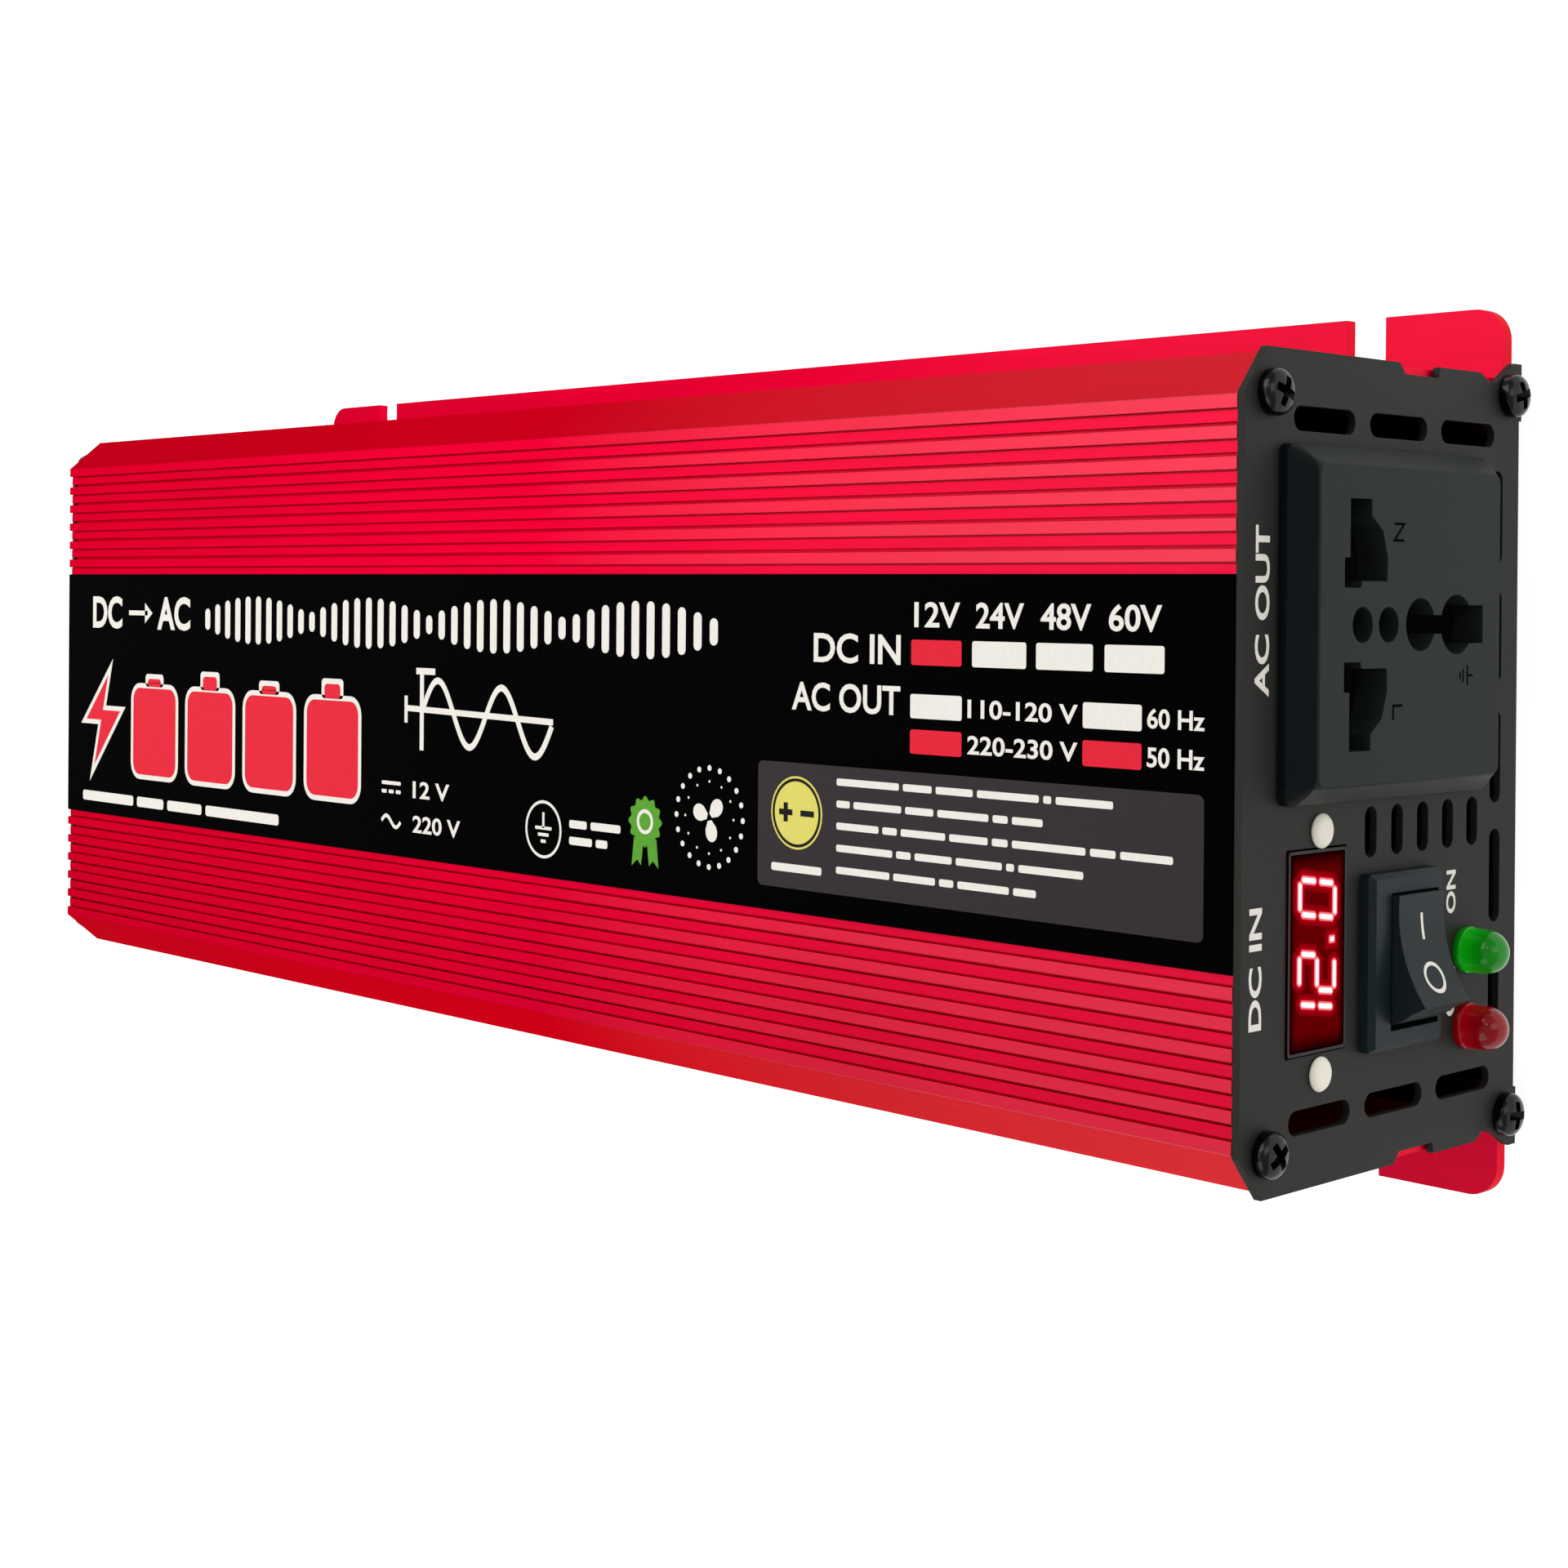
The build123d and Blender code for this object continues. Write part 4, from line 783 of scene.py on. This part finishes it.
class INVERTER_OT_label(bpy.types.Operator):
    """Print the label on the roof."""

    bl_idname = "inverter.label"
    bl_label = "Label print"

    def sheet(self):
        return Sheet(Vector((0, 0, LABEL[1].z)), (1, 0, 0), (0, 1, 0))

    def execute(self, context):
        c = colours()
        white, red, grey = self.sheet(), self.sheet(), self.sheet()
        self.title(white)
        self.power_row(white, red)
        self.sine(white)
        self.ratings(white)
        self.table(white, red)
        self.badges(white)
        self.panel(white, grey)
        white.piece("label_print_white", ink("ink_white", c.print_white), "case", "label_print")
        red.piece("label_print_red", ink("ink_red", c.print_red), "case", "label_print")
        grey.piece("label_print_panel", ink("ink_grey", c.print_grey), "case", "label_print")
        return {"FINISHED"}

    def title(self, white):
        """DC to AC, then strokes whose heights follow a sine wave."""
        white.text("DC", -129.6, 12.7, -118.2, 18.9, 0.03)
        white.text("AC", -105.0, 12.7, -93.1, 18.9, 0.03)
        white.line([(-115.6, 15.8), (-108.6, 15.8)], 0.9)
        white.prism([(-109.6, 13.9), (-106.8, 15.8), (-109.6, 17.7)])
        first, last, count = -86.9, 50.2, 41
        for k in range(count):
            u = first + (last - first) * k / (count - 1)
            high = 1.5 + 2.75 * abs(math.sin(math.pi * (k + 0.5) / 10.25))
            white.bar(u - 0.85, 14.95 - high, u + 0.85, 14.95 + high, 0.8)

    def power_row(self, white, red):
        """A bolt and four cells."""
        bolt = [(-126.7, -5.4), (-129.6, -15.3), (-117.8, -2.6), (-124.9, -2.6), (-122.6, 5.3),
                (-133.0, -5.4)]
        rim = 0.45
        white.prism(grown(bolt, rim))
        red.prism(grown(bolt, -rim), 2)
        for k in range(4):
            u0 = -114.6 + 19.9 * k
            for sheet, grow, layer in ((white, 0.0, 1), (red, -0.9, 2)):
                high = 5.4 if k % 2 else 4.4
                body = (u0 - grow, -15.5 - grow, u0 + 17.4 + grow, 2.6 + grow)
                sheet.bar(*body, 3.2 + grow, layer)
                sheet.bar(u0 + 5.4 - grow, 2.0, u0 + 12.0 + grow, high + grow, 0.8, layer)
        white.greeked(-133.2, -62.8, -19.8, 1.9, (8, 4, 5, 10))

    def sine(self, white):
        """A sine wave on its axes."""
        wave = [(-20.0 + 33.6 * k / 60, 1.15 + 5.0 * math.sin(math.pi * 4 * k / 60) - 0.02 * k)
                for k in range(61)]
        white.line(wave, 1.05)
        white.line([(-24.6, 1.3), (13.9, 0.6)], 0.95, layer=1.3)
        white.line([(-20.2, -5.4), (-20.2, 7.9)], 1.05, layer=1.6)
        white.line([(-21.8, 7.4), (-16.6, 7.4)], 1.05, layer=1.3)
        white.line([(-24.6, -1.1), (-24.6, 3.3)], 0.85, layer=1.6)

    def ratings(self, white):
        """Direct and alternating current signs with their voltages."""
        white.bar(-31.4, -11.5, -26.0, -10.9, 0.2)
        for k in range(3):
            white.bar(-31.4 + 2.0 * k, -12.9, -30.0 + 2.0 * k, -12.3, 0.2)
        white.text("12 V", -22.6, -13.3, -12.6, -10.5)
        tilde = [(-31.4 + 5.4 * k / 20, -17.5 + 0.9 * math.sin(math.pi * k / 10)) for k in range(21)]
        white.line(tilde, 0.6)
        white.text("220 V", -22.6, -18.9, -9.6, -16.1)

    def table(self, white, red):
        """Voltages and frequencies with a box for each."""
        for words, u in (("12V", 89.0), ("24V", 99.7), ("48V", 110.4), ("60V", 121.1)):
            white.text(words, u, 16.2, u + 8.0, 19.5)
        white.text("DC IN", 70.4, 11.2, 86.6, 15.2)
        white.text("AC OUT", 66.2, 4.6, 86.6, 8.5)
        red.bar(88.5, 11.3, 97.3, 14.6, 0.35)
        for u in (99.1, 109.7, 120.5):
            white.bar(u, 11.3, u + 9.0, 14.6, 0.35)
        for v, sheet in ((4.4, white), (-0.2, red)):
            sheet.bar(88.4, v, 97.4, v + 3.15, 0.35)
            sheet.bar(117.2, v, 126.2, v + 3.15, 0.35)
        for volts, hertz, v in (("110-120 V", "60 Hz", 4.8), ("220-230 V", "50 Hz", 0.2)):
            white.text(volts, 98.4, v, 116.4, v + 2.4)
            white.text(hertz, 127.0, v, 135.4, v + 2.4)

    def badges(self, white):
        """An earth sign in a ring, a green rosette and a fan sign in a dotted ring."""
        c = colours()
        u, v = 11.7, -15.8
        white.ring(u, v, 4.2, 0.45)
        white.line([(u, v + 2.6), (u, v + 0.2)], 0.5)
        for k, half in enumerate((2.0, 1.3, 0.6)):
            white.bar(u - half, v - 0.05 - 1.0 * k, u + half, v + 0.45 - 1.0 * k, 0.1)
        white.greeked(18.0, 30.0, -14.5, 1.2, (3, 5))
        white.greeked(18.0, 27.0, -17.0, 1.2, (4, 2))
        green = self.sheet()
        u, v, lobes = 35.6, -12.9, 12
        edge = []
        for k in range(lobes * 6):
            angle = 2 * math.pi * k / (lobes * 6)
            r = 3.45 + 0.3 * math.cos(lobes * angle)
            edge.append((u + r * math.cos(angle), v + r * math.sin(angle)))
        for side in (1, -1):
            tail = [(u + side * 0.3, v - 2.2), (u + side * 2.5, v - 2.4), (u + side * 3.0, v - 6.6),
                    (u + side * 1.75, v - 5.6), (u + side * 0.9, v - 6.4)]
            green.prism(tail if side < 0 else tail[::-1])
        green.prism(edge, 2)
        green.piece("label_rosette", ink("ink_green", c.print_green), "case", "label_print")
        white.ring(u, v, 1.55, 0.55, layer=3)
        u, v = 49.5, -11.3
        for k in range(20):
            angle = 2 * math.pi * k / 20
            white.disc(u + 7.0 * math.cos(angle), v + 7.0 * math.sin(angle), 0.42, 12)
        for k in range(12):
            angle = 2 * math.pi * k / 12
            white.disc(u + 5.1 * math.cos(angle), v + 5.1 * math.sin(angle), 0.2, 8)
        for k in range(3):
            blade = []
            for step in range(13):
                share = step / 12
                angle = math.radians(120 * k) + 1.5 * share
                r = 0.6 + 2.9 * math.sin(math.pi * share) ** 0.6
                blade.append((u + r * math.cos(angle), v + r * math.sin(angle)))
            white.prism(blade)

    def panel(self, white, grey):
        """A grey panel with a terminal sign and five lines of small print."""
        c = colours()
        grey.bar(59.6, -19.8, 135.4, -2.6, 0.9)
        yellow = self.sheet()
        yellow.disc(67.3, -9.4, 5.0, layer=2)
        yellow.piece("label_terminal_sign", ink("ink_yellow", c.print_yellow), "case", "label_print")
        dark = self.sheet()
        dark.ring(67.3, -9.4, 4.5, 0.4, layer=3)
        dark.line([(63.9, -9.4), (66.5, -9.4)], 0.8, layer=3)
        dark.line([(65.2, -10.7), (65.2, -8.1)], 0.8, layer=3.3)
        dark.line([(68.1, -9.4), (70.7, -9.4)], 0.8, layer=3)
        dark.piece("label_terminal_lines", ink("ink_black", c.label_black), "case", "label_print")
        white.greeked(62.4, 72.2, -17.0, 1.1, (1,), layer=2)
        lines = ((75.0, 122.0, (9, 4, 5, 8, 1, 7)), (75.0, 111.0, (2, 7, 4, 7, 2, 4)),
                 (75.0, 131.0, (6, 2, 6, 5, 2, 9, 3, 6)), (75.0, 117.5, (8, 2, 5, 6, 1, 8)),
                 (75.0, 110.0, (8, 6, 2, 7, 3)))
        for k, (u0, u1, words) in enumerate(lines):
            white.greeked(u0, u1, -4.7 - 2.95 * k, 0.95, words, layer=2)


def grown(outline, by):
    """An anticlockwise outline moved outwards, with sharp corners."""
    moved = []
    count = len(outline)
    for k in range(count):
        here = Vector(outline[k])
        one = (here - Vector(outline[k - 1])).normalized()
        two = (Vector(outline[(k + 1) % count]) - here).normalized()
        out = Vector((one.y + two.y, -one.x - two.x))
        moved.append(tuple(here + out * by / (1 + one.dot(two))))
    return moved


class INVERTER_OT_plate_print(bpy.types.Operator):
    """Print the words and signs on both end plates, and draw the socket's pressed marks in near-black as
    painted shade.
    """

    bl_idname = "inverter.plate_print"
    bl_label = "Plate print"

    def execute(self, context):
        c = colours()
        white = ink("plate_ink", c.print_white)
        weight = 0.025
        front = end_sheet(FRONT[1].x)
        front.text("AC OUT", 8.9, 57.0, 28.8, 59.8, weight)
        front.text("DC IN", -29.7, 57.95, -15.5, 60.45, weight)
        front.text("ON", -19.6, 16.1, -14.1, 18.3, weight)
        front.text("OFF", -32.7, 16.1, -25.4, 18.3, weight)
        front.piece("front_plate_print", white, "case", "label_print")
        rear = end_sheet(REAR[0].x, -1)
        rear.line([(-40.0, 49.5), (-33.0, 49.5)], 1.1)
        rear.line([(-36.5, 46.0), (-36.5, 53.0)], 1.1, layer=1.3)
        rear.line([(33.0, 49.5), (40.0, 49.5)], 1.1)
        rear.text("DC IN", -6.0, 3.2, 6.0, 5.9, weight)
        rear.piece("rear_plate_print", white, "case", "label_print")
        marks = end_sheet(COVER[1].x)
        marks.line([(27.4, 35.5), (27.4, 37.6), (29.4, 35.5), (29.4, 37.6)], 0.3)
        marks.line([(5.8, 37.6), (7.5, 37.6), (7.5, 35.6)], 0.3)
        earth = 10.87
        marks.line([(earth, 19.7), (earth, 20.9)], 0.24)
        for v, half in ((20.9, 1.24), (21.9, 0.85), (22.6, 0.45)):
            marks.line([(earth - half, v), (earth + half, v)], 0.22, layer=1.3)
        # Painted shade: the pressed marks are drawn near-black, in place of the shade in their recesses.
        dark = ink("pressed_mark_painted_shade", (0.003, 0.003, 0.003), 0.6, 0.0)
        marks.piece("socket_marks", dark, "case", "black_moulding")
        return {"FINISHED"}


class INVERTER_OT_switch_marks(bpy.types.Operator):
    """Print the on and off signs on the rocker."""

    bl_idname = "inverter.switch_marks"
    bl_label = "Switch marks"

    def execute(self, context):
        low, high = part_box("rocker_button")
        middle = (low.z + high.z) / 2 / MM
        sheet = end_sheet(high.x)
        sheet.line([(-21.5 + 3.25 * k / 8, middle) for k in range(9)], 0.5)
        sheet.line([(-26.0 + 1.6 * math.cos(a), middle + 1.85 * math.sin(a))
                    for a in (2 * math.pi * k / 40 for k in range(40))], 0.45, True)
        sheet.drape("rocker_button")
        sheet.piece("rocker_marks", ink("switch_ink", colours().print_white), "rocker", "label_print")
        return {"FINISHED"}


class INVERTER_OT_voltmeter(bpy.types.Operator):
    """Light the voltmeter's digits."""

    bl_idname = "inverter.voltmeter"
    bl_label = "Voltmeter digits"

    DIGITS = {"0": "abcdef", "1": "bc", "2": "abged"}
    LOW = 43.05

    def segments(self, u, v):
        """Middle lines of the seven segments of a digit whose lower left corner is (u, v)."""
        d = details()
        s = d.stroke / MM
        left, right = u + s / 2, u + d.digit_w / MM - s / 2
        low, high = v + s / 2, v + d.digit_h / MM - s / 2
        mid = (low + high) / 2
        return {"a": ((left, high), (right, high)), "b": ((right, mid), (right, high)),
                "c": ((right, low), (right, mid)), "d": ((left, low), (right, low)),
                "e": ((left, low), (left, mid)), "f": ((left, mid), (left, high)),
                "g": ((left, mid), (right, mid))}

    def leant(self, points):
        return [(u + details().lean * (v - self.LOW), v) for u, v in points]

    def bar(self, sheet, ends, grow, layer):
        """A segment with blunt ends, grown on all sides."""
        half = details().stroke / MM / 2 + grow
        a, b = Vector(ends[0]), Vector(ends[1])
        along = (b - a).normalized()
        across = along.orthogonal()
        a, b = a + along * (0.2 - grow), b - along * (0.2 - grow)
        nose, tip = along * half * 0.6, across * half * 0.35
        side = across * half
        points = [a - tip, a + nose - side, b - nose - side, b - tip,
                  b + tip, b - nose + side, a + nose + side, a + tip]
        sheet.prism(self.leant([tuple(p) for p in points]), layer)

    def execute(self, context):
        c = colours()
        face = LENS[1].x
        low, high = LENS[0] / MM, LENS[1] / MM
        dot = (-20.85, 43.5, -19.85, 44.75)
        rise = 0.03
        haze = tint(c.digit_halo, 0.6)
        shells = (("digits", c.digit, 1.3, -0.22, 4.0), ("digit_edges", c.digit_edge, 1.0, 0.0, 3.0),
                  ("digit_halos", c.digit_halo, 1.0, 0.3, 2.0), ("digit_haze", haze, 1.0, 0.75, 1.0))
        for name, tone, strength, grow, layer in shells:
            sheet = end_sheet(face)
            step = 0
            for figure, u in (("1", -33.18), ("2", -27.2), ("0", -18.43)):
                segments = self.segments(u, self.LOW)
                for key in self.DIGITS[figure]:
                    self.bar(sheet, segments[key], grow, layer + rise * step)
                    step += 1
            sheet.bar(dot[0] - grow, dot[1] - grow, dot[2] + grow, dot[3] + grow, 0.2, layer + rise * step)
            light = glowing("light_" + name, tone, strength)
            sheet.piece("voltmeter_" + name, light, "case", "meter_display")
        window = end_sheet(face)
        gap = 0.35
        window.bar(low.y + gap, low.z + gap, high.y - gap, high.z - gap, 0.3, 0.4)
        window.piece("voltmeter_window", self.glow(), "case", "meter_display")
        # Painted highlight: a grey frame round the window stands in for the light caught by the bezel's edge.
        rim = end_sheet(face)
        gap = 0.2
        rim.frame(low.y + gap, low.z + gap, high.y - gap, high.z - gap, 0.4, 0.36)
        rim.piece("voltmeter_bezel_painted_highlight", ink("bezel_painted_highlight", (0.028, 0.026, 0.028)), "case", "meter_display")
        return {"FINISHED"}

    def glow(self):
        """Red light spread behind the digits, which fades to black along the window's edges."""
        f = Finish("digit_glow")
        middle, half = (LENS[0] + LENS[1]) / 2, (LENS[1] - LENS[0]) / 2
        across = ((half.y - (f.axis(1) - middle.y).absolute() - 0.5 * MM) / (2.2 * MM)).clamped()
        upright = ((half.z - (f.axis(2) - middle.z).absolute() - 0.5 * MM) / (1.2 * MM)).clamped()
        haze = f.noise(300, 2, 0.5)
        level = (across * upright * (haze * 0.4 + 0.8)).clamped()
        tone = f.mix(level, (0.001, 0.0, 0.0), colours().window)
        return f.done(Base_Color=(0.004, 0.0, 0.0), Roughness=0.3 + haze * 0.05, Emission_Color=tone,
                      Emission_Strength=0.9, Specular_IOR_Level=0.0)


class INVERTER_OT_lamps(bpy.types.Operator):
    """Build the two lamps with their domes, rims and cups."""

    bl_idname = "inverter.lamps"
    bl_label = "Lamps"

    def execute(self, context):
        c = colours()
        for name, base, glow in (("green", c.lamp_green, 0.6), ("red", c.lamp_red, 0.35)):
            self.lamp(name, base, glow)
        return {"FINISHED"}

    def lamp(self, name, base, glow):
        low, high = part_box("lamp_" + name)
        y, z = (low.y + high.y) / 2 / MM, (low.z + high.z) / 2 / MM
        start, tip = low.x / MM, high.x / MM - 0.5
        rim = (high.y - low.y) / 2 / MM
        r = rim - 0.15
        shoulder = tip - r
        dome = [(shoulder + r * math.sin(a), r * math.cos(a))
                for a in (math.pi / 2 * k / 12 for k in range(13))]
        dome[-1] = (tip, 0)
        seat = FRONT[1].x / MM
        foot = seat + 0.9
        profile = [(start, 0), (start, rim), (foot - 0.1, rim), (foot, rim - 0.1), (foot + 0.1, r)]
        profile += dome
        bm = spun(profile, along_x(0, y, z))
        lens = coloured_epoxy("epoxy_" + name, base, glow, foot * MM, (tip - foot) * MM)
        piece("lamp_dome_" + name, bm, lens, "case", ("lamp_" + name,), 30)
        cup = [(start + 2.2, 0), (start + 2.2, 1.5), (start + 4.0, 2.0),
               (start + 4.0, 1.7), (start + 2.9, 0.8), (start + 2.9, 0)]
        bm = spun(cup, along_x(0, y, z))
        inner = glowing("cup_" + name, tint(base, 1.6), glow * 2.4)
        piece("lamp_cup_" + name, bm, inner, "case", (), 30)


def pan_head(x, y, z, out, r, height, length, shank_r, turn):
    """A pan screw with a turned cross recess and threads, whose head sits on x and faces out."""
    place = along_x(x, y, z, out)
    crown = [(height * (0.45 + 0.55 * math.cos(a)), r * math.sin(a) ** 0.75)
             for a in (math.pi / 2 * k / 10 for k in range(10))]
    crown = [(height, 0)] + crown[1:] + [(height * 0.4, r), (0.12, r), (0, r - 0.12), (0, shank_r)]
    pitch = 0.7
    for k in range(int((length - 0.6) / pitch)):
        at = -pitch * k
        crown += [(at - 0.15, shank_r), (at - 0.35, shank_r * 0.82), (at - 0.55, shank_r)]
    crown += [(-length + 0.4, shank_r * 0.8), (-length, 0)]
    head = spun(crown, place)
    cross = bmesh.new()
    reach, half, deep = r * 0.7, r * 0.19, height * 0.75
    for angle in (turn, turn + math.radians(90)):
        bottom, top = [], []
        for u, v in ((reach, half), (-reach, half), (-reach, -half), (reach, -half)):
            for level, share, ring in ((height - deep, 0.45, bottom), (height + 0.5, 1.15, top)):
                w = Vector((u * share, v * (0.6 if share < 1 else 1.15)))
                w.rotate(Matrix.Rotation(angle, 2))
                ring.append(cross.verts.new(place @ Vector((level * MM, w.x * MM, w.y * MM))))
        cross.faces.new(bottom)
        cross.faces.new(top[::-1])
        for k in range(4):
            n = (k + 1) % 4
            cross.faces.new((bottom[k], top[k], top[n], bottom[n]))
    return cut(head, cross)


class INVERTER_OT_screws(bpy.types.Operator):
    """Cut cross recesses and threads on the screws that show."""

    bl_idname = "inverter.screws"
    bl_label = "Screws"

    def execute(self, context):
        black = turned_metal("black_zinc", (0.03, 0.03, 0.032), 0.1, 500)
        heads = []
        for k, (low, high) in enumerate(islands("end_plate_screws")):
            out = 1 if high.x > 0 else -1
            y, z = (low.y + high.y) / 2, (low.z + high.z) / 2
            seat = (FRONT[1].x if out > 0 else REAR[0].x) / MM
            end = high.x if out > 0 else low.x
            tip = low.x if out > 0 else high.x
            r, turn = (high.y - low.y) / 2, math.radians(28 + 37 * k)
            heads.append(pan_head(seat, y, z, out, r, abs(end - seat), abs(seat - tip), 1.45, turn))
        piece("end_plate_screw_set", merged(heads), black, "case", ("end_plate_screws",), 40)
        return {"FINISHED"}


class INVERTER_OT_rivets(bpy.types.Operator):
    """Turn the push rivets' domed heads."""

    bl_idname = "inverter.rivets"
    bl_label = "Push rivets"

    def execute(self, context):
        heads = []
        seat = FRONT[1].x / MM
        for low, high in islands("voltmeter_rivets"):
            r, tall = (high.y - low.y) / 2, high.x - seat
            y, z = (low.y + high.y) / 2, (low.z + high.z) / 2
            shank_r = 1.4
            profile = [(low.x, 0), (low.x, 1.1), (low.x + 0.4, shank_r), (seat, shank_r),
                       (seat, r - 0.1), (seat + 0.1, r), (seat + tall * 0.35, r),
                       (seat + tall * 0.7, r * 0.9), (seat + tall * 0.95, r * 0.66),
                       (seat + tall, r * 0.4), (seat + tall, 0)]
            heads.append(spun(profile, along_x(0, y, z)))
        nylon = moulded("nylon", colours().nylon, 0.42, 1500, 0.03)
        piece("voltmeter_rivet_set", merged(heads), nylon, "case", ("voltmeter_rivets",), 35)
        return {"FINISHED"}


class INVERTER_OT_stage(bpy.types.Operator):
    """Set up the floor, lights and camera."""

    bl_idname = "inverter.stage"
    bl_label = "Stage"

    def execute(self, context):
        s = context.scene.inverter_stage
        self.floor(s)
        self.lights(s)
        self.camera(context, s)
        context.scene.view_settings.view_transform = "Standard"
        return {"FINISHED"}

    def floor(self, s):
        mesh = bpy.data.meshes.new("floor")
        reach = 3.0
        corners = [(-reach, -reach, 0), (reach, -reach, 0), (reach, reach, 0), (-reach, reach, 0)]
        mesh.from_pydata(corners, [], [(0, 1, 2, 3)])
        floor = bpy.data.objects.new("floor", mesh)
        bpy.context.scene.collection.objects.link(floor)
        f = Finish("floor")
        fine = f.noise(60, 2, 0.5)
        tone = f.mix(fine, s.floor_colour, tint(s.floor_colour, 1.02))
        beside, ahead = (f.axis(0) + 0.2).absolute() - 0.6, (f.axis(1) + 0.09).absolute() - 0.33
        level = (1 - beside.math("MAXIMUM", beside, ahead) / 0.35).clamped()
        light = f.mix(level, (0.0, 0.0, 0.0), (1.0, 1.0, 1.0))
        glow = f.done(Base_Color=tone, Roughness=0.85, Specular_IOR_Level=0.2, Emission_Color=light,
                      Emission_Strength=s.floor_glow)
        mesh.materials.append(glow)

    def softbox(self, name, power, size, at, target=(0, 0, 0.03)):
        light = bpy.data.lights.new(name, "AREA")
        light.energy = power
        light.shape = "RECTANGLE"
        light.size, light.size_y = size
        holder = bpy.data.objects.new(name, light)
        holder.location = at
        holder.rotation_mode = "QUATERNION"
        holder.rotation_quaternion = (Vector(target) - Vector(at)).to_track_quat("-Z", "Y")
        bpy.context.scene.collection.objects.link(holder)

    def lights(self, s):
        world = bpy.data.worlds.new("studio")
        world.use_nodes = True
        background = world.node_tree.nodes["Background"]
        background.inputs["Color"].default_value = (1, 1, 1, 1)
        background.inputs["Strength"].default_value = s.world
        bpy.context.scene.world = world
        self.softbox("key", s.key, (1.0, 0.8), (-0.1, 0.75, 1.0))
        self.softbox("fill", s.fill, (1.0, 0.8), (0.1, -0.8, 0.95))
        self.softbox("side", s.side, (0.5, 0.9), (1.1, 0.3, 0.2))
        self.softbox("back", s.back, (0.9, 0.9), (-0.9, 0.0, 0.7))
        self.softbox("top", s.top, (0.3, 0.7), (-0.22, 0.05, 0.52), (0.1, 0.02, 0.06))
        self.softbox("glint", s.glint, (0.05, 0.05), (0.45, 0.3, 0.5))

    def camera(self, context, s):
        lens = bpy.data.cameras.new("camera")
        lens.sensor_width = 36.0
        lens.lens = s.lens
        lens.shift_y = s.shift_y
        lens.clip_start = 0.01
        holder = bpy.data.objects.new("camera", lens)
        back = -Vector(s.camera_ahead).normalized()
        right = Vector(s.camera_up).cross(back).normalized()
        up = back.cross(right)
        turn = Matrix((right, up, back)).transposed().to_4x4()
        holder.matrix_world = Matrix.Translation(s.camera_at) @ turn
        context.scene.collection.objects.link(holder)
        context.scene.camera = holder


# ---------------------------------------------------------------- add-on


class INVERTER_PT_panel(bpy.types.Panel):
    """The inverter's settings and steps."""

    bl_idname = "INVERTER_PT_panel"
    bl_label = "Power inverter"
    bl_space_type = "VIEW_3D"
    bl_region_type = "UI"
    bl_category = "Inverter"

    def draw(self, context):
        for group in (context.scene.inverter_colours, context.scene.inverter_details,
                      context.scene.inverter_stage):
            box = self.layout.box()
            for key in group.__annotations__:
                box.prop(group, key)
        for step in STEPS:
            self.layout.operator(step.bl_idname)


GROUPS = (InverterColours, InverterDetails, InverterStage)
STEPS = (
    INVERTER_OT_finishes,
    INVERTER_OT_label,
    INVERTER_OT_plate_print,
    INVERTER_OT_switch_marks,
    INVERTER_OT_voltmeter,
    INVERTER_OT_lamps,
    INVERTER_OT_screws,
    INVERTER_OT_rivets,
    INVERTER_OT_stage,
)


def register():
    for cls in GROUPS + STEPS + (INVERTER_PT_panel,):
        bpy.utils.register_class(cls)
    bpy.types.Scene.inverter_colours = PointerProperty(type=InverterColours)
    bpy.types.Scene.inverter_details = PointerProperty(type=InverterDetails)
    bpy.types.Scene.inverter_stage = PointerProperty(type=InverterStage)


def unregister():
    del bpy.types.Scene.inverter_stage
    del bpy.types.Scene.inverter_details
    del bpy.types.Scene.inverter_colours
    for cls in reversed(GROUPS + STEPS + (INVERTER_PT_panel,)):
        bpy.utils.unregister_class(cls)


def main():
    register()
    for step in STEPS:
        group, name = step.bl_idname.split(".")
        getattr(getattr(bpy.ops, group), name)()


if __name__ == "__main__":
    main()
